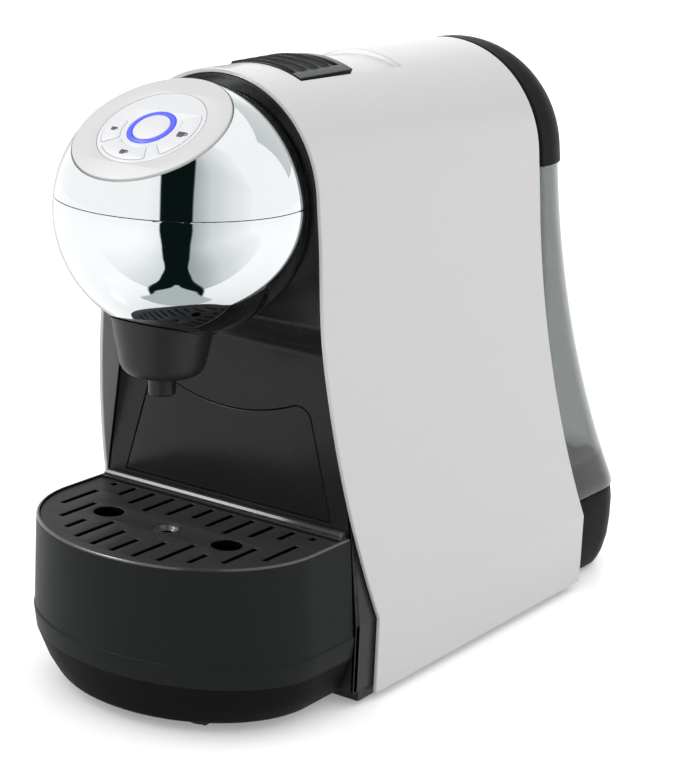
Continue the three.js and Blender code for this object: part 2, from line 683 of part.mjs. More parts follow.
function cordGland() {
  const profile = [[3.6, 0], [5.5, 0], [5.5, 5.9], [7, 5.9], [7, 7.6], [5, 9.2], [3.6, 9.2],
    [3.6, 0]];
  const points = profile.map(([r, h]) => new THREE.Vector2(r, h));
  const geometry = new THREE.LatheGeometry(points, 14);
  return solid(geometry.translate(GLAND.x, GLAND.y, GLAND.z));
}

// ---------- inside ----------
const FRAME_HALF = 45;
const FRAME_WALL = 2;

function innerFrame() {
  const plate = (side) => box(side < 0 ? [-FRAME_HALF, FRAME_WALL - FRAME_HALF]
    : [FRAME_HALF - FRAME_WALL, FRAME_HALF], [46, 190], [8.4, 240]);
  const shelf = box([-FRAME_HALF, FRAME_HALF], [46, 122], [83.6, 86]);
  const deck = box([-FRAME_HALF, FRAME_HALF], [120, 190], [184, 187]);
  const flanges = BASE_SCREWS.map(([x, y]) =>
    box(x < 0 ? [-FRAME_HALF, -30] : [30, FRAME_HALF], [y - 8, y + 8], [8.4, 11]));
  const holes = BASE_SCREWS.map((at) => cylinder('z', 1.9, 0, 20, at, 10));
  return union(plate(-1), plate(1), shelf, deck, ...flanges).subtract(union(...holes));
}

function brewBody() {
  const plate = box([-42.6, 42.6], [48, 52], [192, 238]);
  const barrel = cylinder('y', 20, 48, 62, [0, BREW_Z], 24);
  const chamber = cylinder('y', 16.4, 54, 70, [0, BREW_Z], 24);
  const outlet = cylinder('y', 5.5, 40, 51, [0, BREW_Z], 14);
  return union(plate, barrel).subtract(union(chamber, outlet));
}

function brewRam() {
  const head = cylinder('y', 17, BREW_REST_Y, BREW_REST_Y + 12, [0, BREW_Z], 24);
  const stem = cylinder('y', 9, BREW_REST_Y + 10, 132, [0, BREW_Z], 20);
  const nut = cylinder('y', 4.5, BREW_REST_Y + 6, 140, [0, BREW_Z], 16);
  return union(head, stem).subtract(nut);
}

function driveScrew() {
  return union(cylinder('y', 4, 108, 168, [0, BREW_Z], 12), cylinder('y', 7, 140, 143, [0, BREW_Z], 16));
}

function gearMotor() {
  const gearbox = box([-22, 22], [158, 172], [193, 237]);
  const can = cylinder('y', 15, 171, 199, [0, BREW_Z], 20);
  const socket = cylinder('y', 4.6, 150, 169, [0, BREW_Z], 16);
  return union(gearbox, can, box([-16, 16], [160, 170], [187.4, 194])).subtract(socket);
}

function thermoblock() {
  const block = box([-30, 30], [130, 180], [142, 178]);
  const ports = [[-18, 160], [18, 160]].map(([x, z]) => cylinder('y', 4.5, 120, 131, [x, z], 12));
  const ears = box([-36, 36], [140, 170], [176, 181]);
  const fuse = box([-8, 8], [145, 165], [138, 143]);
  return union(block, ...ports, ears, fuse);
}

const PUMP = { x: -22, z: 46 };

function pump() {
  const sections = [[5, 108, 118], [16, 117, 150], [18.5, 149.5, 178], [12, 177, 192], [4, 191, 200]];
  return union(...sections.map(([r, from, to]) => cylinder('y', r, from, to, [PUMP.x, PUMP.z], 20)));
}

function pumpMount(y0, y1, bore) {
  const block = box([PUMP.x - 16, PUMP.x + 16], [y0, y1], [8.5, PUMP.z + 18]);
  return block.subtract(cylinder('y', bore, y0 - 5, y1 + 5, [PUMP.x, PUMP.z], 16));
}

function flowMeter() {
  const disc = cylinder('z', 15, 8.6, 22, [24, 205], 20);
  const nipples = union(cylinder('y', 3.5, 186, 230, [24, 15], 10));
  return disc.add(nipples);
}

function controlBoard() {
  const board = box([-40, -38.4], [132, 186], [192, 236]);
  const relays = [[138, 198], [138, 216], [160, 198]].map(([y, z]) =>
    box([-39, -30], [y, y + 14], [z, z + 12]));
  return union(board, ...relays);
}

// ---------- assembly ----------
const machine = new THREE.Group();
machine.position.y = FOOTPRINT_SHIFT;

function add(name, manifold, look, parent = machine) {
  const mesh = new THREE.Mesh(geometryOf(manifold), paint[look]);
  mesh.name = name;
  parent.add(mesh);
}

add('outer_shell', outerShell(), 'shell');
add('front_panel', frontPanel(), 'black');
add('rear_panel', rearPanel(), 'black');
add('base_chassis', baseChassis(), 'black');
['foot_front_left', 'foot_front_right', 'foot_rear_left', 'foot_rear_right']
  .forEach((name, i) => add(name, foot(FEET[i]), 'rubber'));
BASE_SCREWS.forEach((at, i) => add(`frame_screw_${i + 1}`, screw(at), 'steel'));
REAR_SCREWS.forEach((at, i) => add(`rear_base_screw_${i + 1}`, screw(at), 'steel'));

add('drip_tray', dripTray(), 'black');
add('drip_grille', dripGrille(), 'black');
add('pod_bin', podBin(), 'black');

add('head_upper', headUpper(), 'chrome');
add('head_lower', headLower(), 'chrome');
add('head_frame', headFrame(), 'frame');
add('brew_cup', brewCup(), 'black');
add('spout_nozzle', spoutNozzle(), 'black');
add('outlet_tube', outletTube(), 'hose');

const disc = new THREE.Group();
disc.position.z = BALL_Z;
disc.rotation.x = DISC_TILT;
machine.add(disc);
add('control_ring', controlRing(), 'trim', disc);
add('keypad_frame', keypadFrame(), 'keypad', disc);
add('power_button', powerButton(), 'keypad', disc);
add('light_ring', lightRing(), 'light', disc);
add('keypad_board', keypadBoard(), 'board', disc);
KEYS.forEach(([name, middle, half]) => add(name, key(middle, half), 'keypad', disc));

add('pod_track', podTrack(), 'shell');
add('pod_cover', podCover(), 'glossBlack');
add('pod_chute', podChute(), 'frame');

add('water_tank', waterTank(), 'tank');
add('tank_lid', tankLid(), 'black');
add('lid_hinge_pin', hingePin(), 'steel');
add('tank_valve', tankValve(), 'frame');
add('rear_base', rearBase(), 'glossBlack');
add('valve_socket', valveSocket(), 'frame');
add('cord_gland', cordGland(), 'rubber');

add('inner_frame', innerFrame(), 'frame');
add('brew_body', brewBody(), 'frame');
add('brew_ram', brewRam(), 'frame');
add('drive_screw', driveScrew(), 'steel');
add('gear_motor', gearMotor(), 'frame');
add('thermoblock', thermoblock(), 'aluminium');
add('pump', pump(), 'pump');
add('pump_mount_front', pumpMount(110, 116, 5.4), 'rubber');
add('pump_mount_rear', pumpMount(180, 188, 12.4), 'rubber');
add('flow_meter', flowMeter(), 'frame');
add('control_board', controlBoard(), 'board');

add('hose_tank_to_meter', rod([[0, VALVE_Y, 30.6], [0, VALVE_Y - 4, 20], [6, 262, 15], [18, 250, 14],
  [24, 240, 15], [24, 230.6, 15]], 3, 14, 6), 'hose');
add('hose_meter_to_pump', rod([[24, 185.6, 15], [24, 160, 15], [20, 120, 16], [4, 102, 24],
  [-14, 96, 40], [-21, 101, 46], [PUMP.x, 107.5, PUMP.z]], 3, 20, 6), 'hose');
add('hose_pump_to_heater', rod([[PUMP.x, 201.6, PUMP.z], [PUMP.x, 204, PUMP.z + 1], [-30, 203.5, 66],
  [-36, 195, 90], [-38, 178, 112], [-38.5, 136, 142], [-36, 114, 155], [-26, 107, 160], [-18.4, 112, 160],
  [-18, 119.2, 160]], 2.5, 26, 6), 'hose');
add('hose_heater_to_brew', rod([[18, 119.2, 160], [19, 112, 161], [28, 105, 169], [37, 97, 190],
  [38, 84, 212], [36, 68, 223], [32, 59, 226], [32, 52.6, 226]], 2.5, 22, 6), 'hose');

export default machine;
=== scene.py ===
"""Looks of the pod coffee machine: fine meshes, materials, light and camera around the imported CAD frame."""
import math

import bmesh
import bpy
from mathutils import Matrix, Vector


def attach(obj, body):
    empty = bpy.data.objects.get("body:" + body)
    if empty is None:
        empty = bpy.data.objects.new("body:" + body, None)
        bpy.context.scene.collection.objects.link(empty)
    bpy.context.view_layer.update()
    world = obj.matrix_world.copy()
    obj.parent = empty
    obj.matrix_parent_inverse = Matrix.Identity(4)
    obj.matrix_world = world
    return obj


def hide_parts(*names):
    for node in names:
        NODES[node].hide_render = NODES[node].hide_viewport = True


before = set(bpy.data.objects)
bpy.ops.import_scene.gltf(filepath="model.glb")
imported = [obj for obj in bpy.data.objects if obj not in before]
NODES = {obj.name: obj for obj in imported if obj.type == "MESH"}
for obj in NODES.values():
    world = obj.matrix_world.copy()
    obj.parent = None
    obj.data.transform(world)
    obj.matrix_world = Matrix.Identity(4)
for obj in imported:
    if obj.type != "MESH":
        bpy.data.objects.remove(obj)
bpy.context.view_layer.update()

# Lengths below are in millimetres, with y = 0 at the ball's centre. place() puts them in the shared frame.
MM = 0.001
FOOTPRINT_SHIFT = -128.85

BALL_R = 55.5
BALL_Z = 224.9
BALL_WALL = 2.0
BALL_BACK_Y = 27.4
BALL_SEAM_Z = 230.2
DISC_TILT = math.radians(30.3)
DISC_TOP = 43.4
DISC_R = 35.0
DISC_GAP = 0.7
KEYPAD_R = 24.0
SEAM_GAP = 0.36
OUTLET_R = 14.0

# The shell is an arch: straight leaning sides under a round crown. Below SWEEP_TOP its edges curve away,
# by the square of the drop over SWEEP.
ARCH_R = 56.2
ARCH_Z = 226.9
SHELL_WALL = 2.0
SIDE_LEAN = math.radians(6.6)
CREASE_Z = 40.6
SHELL_BOTTOM = 4.2
SHELL_FRONT_Y = 19.8
FRONT_SWEEP_TOP = 200.0
FRONT_SWEEP = 790.0
FRONT_STEP = 3.1
FRONT_STEP_Z = (165.0, 220.0)
SHELL_REAR_Y = 208.0
REAR_SWEEP_TOP = 195.0
REAR_SWEEP = 686.0
CROWN_Z = 226.0
ABOVE_CROWN = 300.0
FRONT_CROWN_LEAN = 0.024
REAR_CROWN_LEAN = 0.03

# The black lining inside the arch, and the panel across it.
LINING_INSET = 2.4
LINING_WALL = 1.8
LINING_SETBACK = 0.8
LINING_STEP_Z = (158.0, 180.0)
LINING_BACK_Y = 58.0
PANEL_BOTTOM = 8.4
PANEL_HIGH_Y = 25.6
PANEL_LOW_Y = 36.5
PANEL_STEP_Z = (178.0, 160.0)  # from the upper face to the lower one
PANEL_WALL = 3.0
BALL_SEAT_R = 50.2

# The pod cover's track on top, with the slot that a pod drops through.
TRACK_HALF = 23.4
TRACK_FRONT = 51.3
TRACK_REAR = 131.5
TRACK_RAMP = 1.5
TRACK_WALL = 1.8
SLOT_HALF = 18.0
SLOT_Y = (56.0, 87.0)
COVER_Y = (52.0, 92.0)
COVER_HALF_ANGLE = math.radians(23.3)

TRAY_ROWS = [  # height, half width, front depth, centre y
    (5.6, 65, 54, 15), (14, 70.5, 53.5, 11), (26, 74.4, 55, 8), (36, 75.3, 55.5, 7),
    (60, 73.4, 58, 7), (82, 71.4, 60.2, 6.9),
]
TRAY_RIM = TRAY_ROWS[-1]
TRAY_BOTTOM = TRAY_ROWS[0][0]
TRAY_WAIST = TRAY_ROWS[3][0]
TRAY_TOP = TRAY_RIM[0]
TRAY_BACK_Y = 36.1
# Below SKIRT_TOP the tray's faces are coloured darker, as painted shade by the floor.
SKIRT_TOP = 26.3
# Above RIM_BOTTOM the tray's faces are coloured lighter, as a painted highlight on the rim.
RIM_BOTTOM = 81.1
GRILLE_TOP = TRAY_TOP - 1
GRILLE_THICK = 2.6
DRIP_HOLES = [(-33.7, 7.0), (33.7, 7.0)]
DRIP_HOLE_Y = -5.5
CENTRE_HOLE = (5.6, 3.8)  # funnel: radius at the top and at the underside
SLOT_PITCH = 11.5
SLOT_WIDTH = 2.6
REAR_SLOT_END = 28.2
GRILLE_SLOTS = [  # outwards from the middle: front row from and to, rear row from
    (-43.9, -25.5, 13), (-43.2, -20.5, 8.4), (-40.3, -14.5, 5.6), (-33.8, -20.5, 9.5),
    (-24.5, -0.4, 15.5), (-10.5, 14.3, 24.2),
]

BIN_BOTTOM = 86.4
BIN_TOP = 136.0
BIN_LOW_HALF = 59.0
BIN_HIGH_HALF = 46.5
BIN_CORNER = 7.0
BIN_DIP_HALF = 37.5
BIN_DIP = 8.0
BIN_BOX_HALF = 41.5
BIN_BOX_TOP = 124.0
BIN_BACK_Y = 118.0
BIN_WALL = 2.0
BIN_GAP = 0.7

CUP_Y = -11.0
CUP_R = 22.6
CUP_HOLE_R = 4.6
CUP_FLARE = 0.6
CUP_WALL = 2.0
CUP_GAP = 0.4
CUP_BOTTOM = 153.4
SPOUT_BOTTOM = 144.2

TANK_BOTTOM = 46.2
TANK_TOP = 224.6
TANK_WALL = 2.4
TANK_HALF = 55.54
TANK_LEAN = 0.1
TANK_GAP = 1.4
TANK_SWEEP_TOP = 222.0
TANK_SWEEP = 580.0
TANK_FILLET = 20.0
LID_BOTTOM = 225.2
LID_FRONT_Y = 211.6
LID_BACK_Y = 254.5
LID_WALL = 2.2
FRONT_CORNER = 4.0
REAR_CORNER = 34.0
REAR_BASE_FRONT_Y = 244.6
KNUCKLE_R = 3.0
VALVE_R = 8.4
HINGE_Y = LID_BACK_Y + 3.6
HINGE_Z = 223.6
VALVE_Y = 276.0
GLAND = (-30.0, 304.0, 14.0)
FEET = {
    "foot_front_left": (-29, -14), "foot_front_right": (29, -14),
    "foot_rear_left": (-48, 276), "foot_rear_right": (48, 276),
}


# ---------- camera ----------
CAMERA_PLACE = (0.5831, -0.86025, 0.4107)  # metres, in the shared frame
CAMERA_AZIMUTH = math.radians(34.16)
CAMERA_ELEVATION = math.radians(15.5)
CAMERA_ROLL = math.radians(2.56)
CAMERA_LENS = 104.8


def make_camera():
    level = Vector((math.cos(CAMERA_AZIMUTH), math.sin(CAMERA_AZIMUTH), 0))
    towards = Vector((math.sin(CAMERA_AZIMUTH), -math.cos(CAMERA_AZIMUTH), 0))
    back = towards * math.cos(CAMERA_ELEVATION) + Vector((0, 0, math.sin(CAMERA_ELEVATION)))
    upright = back.cross(level)
    right = level * math.cos(CAMERA_ROLL) + upright * math.sin(CAMERA_ROLL)
    up = upright * math.cos(CAMERA_ROLL) - level * math.sin(CAMERA_ROLL)
    camera = bpy.data.objects.new("camera", bpy.data.cameras.new("camera"))
    bpy.context.scene.collection.objects.link(camera)
    turn = Matrix((right, up, back)).transposed().to_4x4()
    camera.matrix_world = Matrix.Translation(CAMERA_PLACE) @ turn
    camera.data.lens = CAMERA_LENS
    camera.data.sensor_width = 36
    camera.data.clip_start = 0.05
    camera.data.clip_end = 50
    bpy.context.scene.camera = camera


# ---------- mesh helpers ----------
SMOOTH_ANGLE = 32  # degrees; sharper edges keep their crease
SOFT_ANGLE = 40


def place(point):
    x, y, z = point
    return Vector((x * MM, (y + FOOTPRINT_SHIFT) * MM, z * MM))


def disc_place(point):
    """From the control disc's own tilted frame, with z along the disc's normal."""
    turned = Matrix.Rotation(DISC_TILT, 3, "X") @ Vector(point)
    return place((turned.x, turned.y, turned.z + BALL_Z))


def facing_front_place(point):
    """From a frame drawn as seen from the front: x, height, depth towards the viewer."""
    x, height, towards = point
    return place((x, -towards, height))


def smooth(mesh, degrees):
    mesh.shade_smooth()
    mesh.set_sharp_from_angle(angle=math.radians(degrees))


def link_mesh(name, mesh, smooth_angle=SMOOTH_ANGLE):
    smooth(mesh, smooth_angle)
    piece = bpy.data.objects.new(name, mesh)
    bpy.context.scene.collection.objects.link(piece)
    return piece


def mesh_piece(name, points, faces, put=place, smooth_angle=SMOOTH_ANGLE):
    mesh = bpy.data.meshes.new(name)
    mesh.from_pydata([put(p) for p in points], [], faces)
    mesh.validate()
    return link_mesh(name, mesh, smooth_angle)


def outward(piece):
    """Makes a closed mesh's faces look outwards."""
    work = bmesh.new()
    work.from_mesh(piece.data)
    bmesh.ops.recalc_face_normals(work, faces=work.faces)
    work.to_mesh(piece.data)
    work.free()
    return piece


def bevel(piece, width, segments=3, angle=35):
    step = piece.modifiers.new("edge round", "BEVEL")
    step.width = width * MM
    step.segments = segments
    step.limit_method = "ANGLE"
    step.angle_limit = math.radians(angle)
    step.harden_normals = True
    step.use_clamp_overlap = True
    return piece


def solidify(piece, wall):
    step = piece.modifiers.new("wall", "SOLIDIFY")
    step.thickness = wall * MM
    step.offset = -1
    step.use_even_offset = True
    return piece


def bake_modifiers(piece):
    graph = bpy.context.evaluated_depsgraph_get()
    mesh = bpy.data.meshes.new_from_object(piece.evaluated_get(graph), depsgraph=graph)
    piece.modifiers.clear()
    piece.data = mesh
    smooth(mesh, SMOOTH_ANGLE)
    return piece


def cut(piece, *cutters):
    for cutter in cutters:
        step = piece.modifiers.new("cut", "BOOLEAN")
        step.operation = "DIFFERENCE"
        step.solver = "EXACT"
        step.object = cutter
    bake_modifiers(piece)
    for cutter in cutters:
        bpy.data.objects.remove(cutter)
    return piece


def join(name, *parts):
    """One piece from several closed meshes."""
    work = bmesh.new()
    for part in parts:
        work.from_mesh(part.data)
        bpy.data.objects.remove(part)
    mesh = bpy.data.meshes.new(name)
    work.to_mesh(mesh)
    work.free()
    return link_mesh(name, mesh)


def loft(name, rings, smooth_angle=SMOOTH_ANGLE):
    """A closed piece through closed rings of points, with a flat face at each end."""
    count = len(rings[0])
    points = [p for ring in rings for p in ring]
    faces = []
    for r in range(len(rings) - 1):
        for i in range(count):
            j = (i + 1) % count
            faces.append((r * count + i, r * count + j, (r + 1) * count + j, (r + 1) * count + i))
    faces.append(tuple(range(count))[::-1])
    faces.append(tuple((len(rings) - 1) * count + i for i in range(count)))
    return outward(mesh_piece(name, points, faces, smooth_angle=smooth_angle))


def ring_faces(steps, count):
    """Faces between steps closed profiles of count points each, the last joined to the first."""
    faces = []
    for i in range(steps):
        after = (i + 1) % steps
        for j in range(count):
            k = (j + 1) % count
            faces.append((i * count + j, after * count + j, after * count + k, i * count + k))
    return faces


def grid_faces(rows, width, open_at=lambda i, j: False):
    """Faces of an open grid of rows of width points, left out where open_at says so."""
    faces = []
    for i in range(rows - 1):
        for j in range(width - 1):
            a = i * width + j
            if not open_at(i, j):
                faces.append((a, a + 1, a + width + 1, a + width))
    return faces


def turned_piece(name, profile, centre_y, steps):
    """A closed profile of (radius, height) turned about a vertical axis."""
    points = []
    for i in range(steps):
        angle = 2 * math.pi * i / steps
        points += [(r * math.cos(angle), centre_y + r * math.sin(angle), z) for r, z in profile]
    return outward(mesh_piece(name, points, ring_faces(steps, len(profile))))


def plate(name, outlines, low, high, rounding, put=place):
    """A flat plate with holes and rounded edges.

    outlines are closed lists of (x, y), and the first one is the outside.
    """
    curve = bpy.data.curves.new(name, "CURVE")
    curve.dimensions = "2D"
    curve.fill_mode = "BOTH"
    curve.extrude = (high - low) / 2 - rounding
    curve.bevel_depth = rounding
    curve.bevel_resolution = 2
    curve.offset = -rounding
    for outline in outlines:
        spline = curve.splines.new("POLY")
        spline.points.add(len(outline) - 1)
        for point, (x, y) in zip(spline.points, outline):
            point.co = (x, y, 0, 1)
        spline.use_cyclic_u = True
    source = bpy.data.objects.new(name, curve)
    bpy.context.scene.collection.objects.link(source)
    graph = bpy.context.evaluated_depsgraph_get()
    mesh = bpy.data.meshes.new_from_object(source.evaluated_get(graph), depsgraph=graph)
    bpy.data.objects.remove(source)
    work = bmesh.new()
    work.from_mesh(mesh)
    bmesh.ops.remove_doubles(work, verts=work.verts, dist=1e-4)
    for vertex in work.verts:
        x, y, z = vertex.co
        vertex.co = put((x, y, z + (low + high) / 2))
    bmesh.ops.recalc_face_normals(work, faces=work.faces)
    work.to_mesh(mesh)
    work.free()
    return link_mesh(name, mesh, 50)


def block(name, xs, ys, zs):
    points = [(x, y, z) for x in xs for y in ys for z in zs]
    faces = [(0, 1, 3, 2), (4, 6, 7, 5), (0, 4, 5, 1), (2, 3, 7, 6), (0, 2, 6, 4), (1, 5, 7, 3)]
    return outward(mesh_piece(name, points, faces))


def arc(cx, cy, rx, ry, from_deg, to_deg, steps):
    points = []
    for i in range(steps + 1):
        angle = math.radians(from_deg + (to_deg - from_deg) * i / steps)
        points.append((cx + rx * math.cos(angle), cy + ry * math.sin(angle)))
    return points


def circle(cx, cy, radius, steps=72):
    return arc(cx, cy, radius, radius, 0, 360, steps)[:-1]


def spread(low, high, steps):
    return [low + (high - low) * i / steps for i in range(steps + 1)]


def smooth_step(part):
    part = min(max(part, 0.0), 1.0)
    return part * part * (3 - 2 * part)


def step_between(value, start, end):
    """A smooth step from 0 at start to 1 at end."""
    return smooth_step((value - start) / (end - start))


def cylinder_y(name, radius, centre, ys, steps=96):
    x, z = centre
    return loft(name, [[(u, y, v) for u, v in circle(x, z, radius, steps)] for y in ys])


def cylinder_z(name, radius, centre_y, zs, steps):
    return loft(name, [[(x, y, z) for x, y in circle(0, centre_y, radius, steps)] for z in zs])


# ---------- outlines shared by several pieces ----------
def side_half(z, inset):
    tangent_x = (ARCH_R - inset) * math.cos(SIDE_LEAN)
    tangent_z = ARCH_Z + (ARCH_R - inset) * math.sin(SIDE_LEAN)
    return tangent_x + math.tan(SIDE_LEAN) * (tangent_z - max(z, CREASE_Z))


def front_edge(z):
    """The shell's front edge: it steps back beside the ball and sweeps back below it."""
    below = max(FRONT_SWEEP_TOP - max(z, CREASE_Z), 0)
    above = max(z - CROWN_Z, 0)
    step = FRONT_STEP * step_between(z, *FRONT_STEP_Z)
    return SHELL_FRONT_Y + below ** 2 / FRONT_SWEEP + above * FRONT_CROWN_LEAN + step


def rear_edge(z):
    if z > REAR_SWEEP_TOP:
        return SHELL_REAR_Y + (z - REAR_SWEEP_TOP) * REAR_CROWN_LEAN
    return SHELL_REAR_Y + (REAR_SWEEP_TOP - max(z, CREASE_Z)) ** 2 / REAR_SWEEP


def arch_section(inset, low):
    """(x, z) points of the arch from the right foot over the crown to the left foot."""
    side_steps, crown_steps = 48, 28
    crease_round = 0.6
    lean = math.degrees(SIDE_LEAN)
    radius = ARCH_R - inset
    opening = math.degrees(math.acos(TRACK_HALF / radius))
    tangent_z = ARCH_Z + radius * math.sin(SIDE_LEAN)
    levels = [low, (low + CREASE_Z) / 2, CREASE_Z - crease_round, CREASE_Z]
    levels += spread(CREASE_Z + crease_round, tangent_z, side_steps)[:-1]
    right = [(side_half(z, inset), z) for z in levels]
    corners = [lean, opening, 180 - opening, 180 - lean]
    crown = []
    for start, end in zip(corners, corners[1:]):
        crown += arc(0, ARCH_Z, radius, radius, start, end, crown_steps)[1 if crown else 0:]
    left = [(-x, z) for x, z in reversed(right)]
    return right + crown + left


def arch_sheet(name, inset, wall, low, front, rear, opening=None):
    """A wall that follows the arch between two edge curves.

    An opening in its top is given as (half width, front y, rear y).
    """
    section = arch_section(inset, low)
    steps = (10, 16, 16)  # in front of the opening, beside it and behind it
    top_front = front(ABOVE_CROWN)
    y_low, y_high = (opening[1], opening[2]) if opening else (top_front + 5, top_front + 10)
    points = []
    for x, z in section:
        start, end = front(z), rear(z)
        base = max(z, FRONT_SWEEP_TOP)
        share_low = (y_low - front(base)) / (rear(base) - front(base))
        share_high = (y_high - front(base)) / (rear(base) - front(base))
        marks = [start, start + (end - start) * share_low, start + (end - start) * share_high, end]
        ys = [start]
        for a, b, count in zip(marks, marks[1:], steps):
            ys += spread(a, b, count)[1:]
        points += [(x, y, z) for y in ys]

    def open_at(i, j):
        middle_x = (section[i][0] + section[i + 1][0]) / 2
        beside = steps[0] <= j < steps[0] + steps[1]
        return bool(opening) and beside and abs(middle_x) < opening[0] and section[i][1] > ARCH_Z

    faces = grid_faces(len(section), sum(steps) + 1, open_at)
    piece = mesh_piece(name, points, faces, smooth_angle=SOFT_ANGLE)
    if piece.data.polygons[0].normal.x < 0:
        piece.data.flip_normals()
    return solidify(piece, wall)


# ---------- body ----------
def make_shell():
    shell = arch_sheet("shell_skin", 0, SHELL_WALL, SHELL_BOTTOM, front_edge, rear_edge,
                       (TRACK_HALF, TRACK_FRONT, TRACK_REAR))
    return bevel(shell, 0.55, 4, 50)


def panel_face(z):
    return PANEL_HIGH_Y + (PANEL_LOW_Y - PANEL_HIGH_Y) * step_between(z, *PANEL_STEP_Z)


def bin_outline(grow):
    """(x, z) outline of the bin's front, with a dip in its top edge for a finger."""
    corner = BIN_CORNER + grow
    half = BIN_HIGH_HALF + grow
    low = BIN_LOW_HALF + grow
    smile = []
    for part in spread(-1, 1, 40):
        smile.append((-part * BIN_DIP_HALF, BIN_TOP + grow - BIN_DIP * (1 - part * part)))
    right = arc(half - corner, BIN_TOP + grow - corner, corner, corner, 10, 80, 12)
    left = [(-x, z) for x, z in reversed(right)]
    return [(-low, BIN_BOTTOM - grow), (low, BIN_BOTTOM - grow)] + right + smile + left


def half_at(z, inset):
    """Half width of the arch's outline at a height."""
    radius = ARCH_R - inset
    if z <= ARCH_Z + radius * math.sin(SIDE_LEAN):
        return side_half(z, inset)
    return math.sqrt(max(radius ** 2 - (z - ARCH_Z) ** 2, 0.01))


def make_panel():
    """Plate across the arch, set back below the ball, with the ball's seat and the bin's doorway cut out."""
    radius = ARCH_R - LINING_INSET
    levels = [PANEL_BOTTOM, CREASE_Z, 84, 150] + spread(*LINING_STEP_Z, 22)
    levels += [ARCH_Z + radius * math.sin(math.radians(a)) for a in spread(0, 88, 44)]
    rings = []
    for z in levels:
        half = half_at(z, LINING_INSET)
        y = panel_face(z)
        rings.append([(-half, y, z), (half, y, z), (half, y + PANEL_WALL, z), (-half, y + PANEL_WALL, z)])
    panel = loft("panel_plate", rings)
    seat = cylinder_y("seat_cutter", BALL_SEAT_R, (0, BALL_Z), (0, 60))
    door = loft("door_cutter", [[(x, y, z) for x, z in bin_outline(BIN_GAP)] for y in (10, 60)])
    return bevel(cut(panel, seat, door), 0.35, 3, 40)


def lining_front(z):
    """Level with the panel's low face below the ball, and just inside the shell's front edge beside it."""
    beside_ball = step_between(z, *LINING_STEP_Z)
    return PANEL_LOW_Y + (front_edge(z) + LINING_SETBACK - PANEL_LOW_Y) * beside_ball


def make_lining():
    lining = arch_sheet("panel_lining", LINING_INSET, LINING_WALL, PANEL_BOTTOM, lining_front,
                        lambda z: LINING_BACK_Y)
    return bevel(lining, 0.4, 3, 50)


def make_track():
    """Recessed floor that the pod cover slides on, with the pod slot in it."""
    radius = ARCH_R - SHELL_WALL - 0.4
    slot_angle = math.degrees(math.acos(SLOT_HALF / radius))
    angles = spread(54, slot_angle, 10) + spread(slot_angle, 180 - slot_angle, 24)[1:]
    angles += spread(180 - slot_angle, 126, 10)[1:]
    ramp_y = TRACK_REAR - TRACK_RAMP
    ys = spread(TRACK_FRONT - 4, SLOT_Y[0], 4) + spread(SLOT_Y[0], SLOT_Y[1], 6)[1:]
    ys += spread(SLOT_Y[1], ramp_y, 8)[1:] + spread(ramp_y, TRACK_REAR - 0.1, 6)[1:]
    points = []
    for angle in angles:
        ray = (math.cos(math.radians(angle)), math.sin(math.radians(angle)))
        inside = abs(radius * ray[0]) < TRACK_HALF - 0.2
        for y in ys:
            rise = step_between(y, ramp_y, TRACK_REAR - 0.2) if inside else 0
            r = radius + (ARCH_R - 0.1 - radius) * rise
            points.append((r * ray[0], y, ARCH_Z + r * ray[1]))

    def in_slot(i, j):
        middle = radius * math.cos(math.radians((angles[i] + angles[i + 1]) / 2))
        return abs(middle) < SLOT_HALF and SLOT_Y[0] <= (ys[j] + ys[j + 1]) / 2 <= SLOT_Y[1]

    faces = grid_faces(len(angles), len(ys), in_slot)
    track = mesh_piece("track_skin", points, faces, smooth_angle=SOFT_ANGLE)
    if track.data.polygons[0].normal.z < 0:
        track.data.flip_normals()
    return solidify(track, TRACK_WALL)


# ---------- pod cover ----------
COVER_FRONT_R = 56.5
COVER_REAR_R = 57.4
COVER_INNER_R = 54.3
LOUVRES = 4
LOUVRE_LOW = -1.9
LOUVRE_HIGH = 1.3
LOUVRE_RANGE = (53.6, 88.0)
LOUVRE_HALF_ANGLE = math.radians(18.2)
LOUVRE_SIDE_ANGLE = math.radians(1.0)
LOUVRE_RISE = 0.07  # part of a louvre's pitch that its steep front takes


def cover_radius(angle, y):
    """Outer surface: a plain border round a grip with stepped louvres."""
    start, end = LOUVRE_RANGE
    across = smooth_step((LOUVRE_HALF_ANGLE - abs(angle)) / LOUVRE_SIDE_ANGLE)
    along = (y - COVER_Y[0]) / (COVER_Y[1] - COVER_Y[0])
    plain = COVER_FRONT_R + (COVER_REAR_R - COVER_FRONT_R) * along
    if y <= start or y >= end or across <= 0:
        return plain
    pitch = (end - start) / LOUVRES
    share = ((y - start) % pitch) / pitch
    rise = smooth_step(share / LOUVRE_RISE)
    fall = 1 - share
    return plain + (LOUVRE_LOW + (LOUVRE_HIGH - LOUVRE_LOW) * rise * fall) * across


def make_cover():
    half = COVER_HALF_ANGLE
    angles = spread(-half, half, 120)
    ys = spread(COVER_Y[0], COVER_Y[1], 200)
    points = []
    for outside in (True, False):
        for angle in angles:
            for y in ys:
                radius = cover_radius(angle, y) if outside else COVER_INNER_R
                points.append((radius * math.sin(angle), y, ARCH_Z + radius * math.cos(angle)))
    width = len(ys)
    inner = len(angles) * width
    faces = grid_faces(len(angles), width)
    faces += [tuple(inner + corner for corner in reversed(face)) for face in faces]
    for i in range(len(angles) - 1):
        for j in (0, width - 1):
            a = i * width + j
            faces.append((a, a + width, inner + a + width, inner + a))
    for i in (0, len(angles) - 1):
        for j in range(width - 1):
            a = i * width + j
            faces.append((a, a + 1, inner + a + 1, inner + a))
    cover = outward(mesh_piece("cover_skin", points, faces, smooth_angle=SOFT_ANGLE))
    return bevel(cover, 0.5, 3, 60)


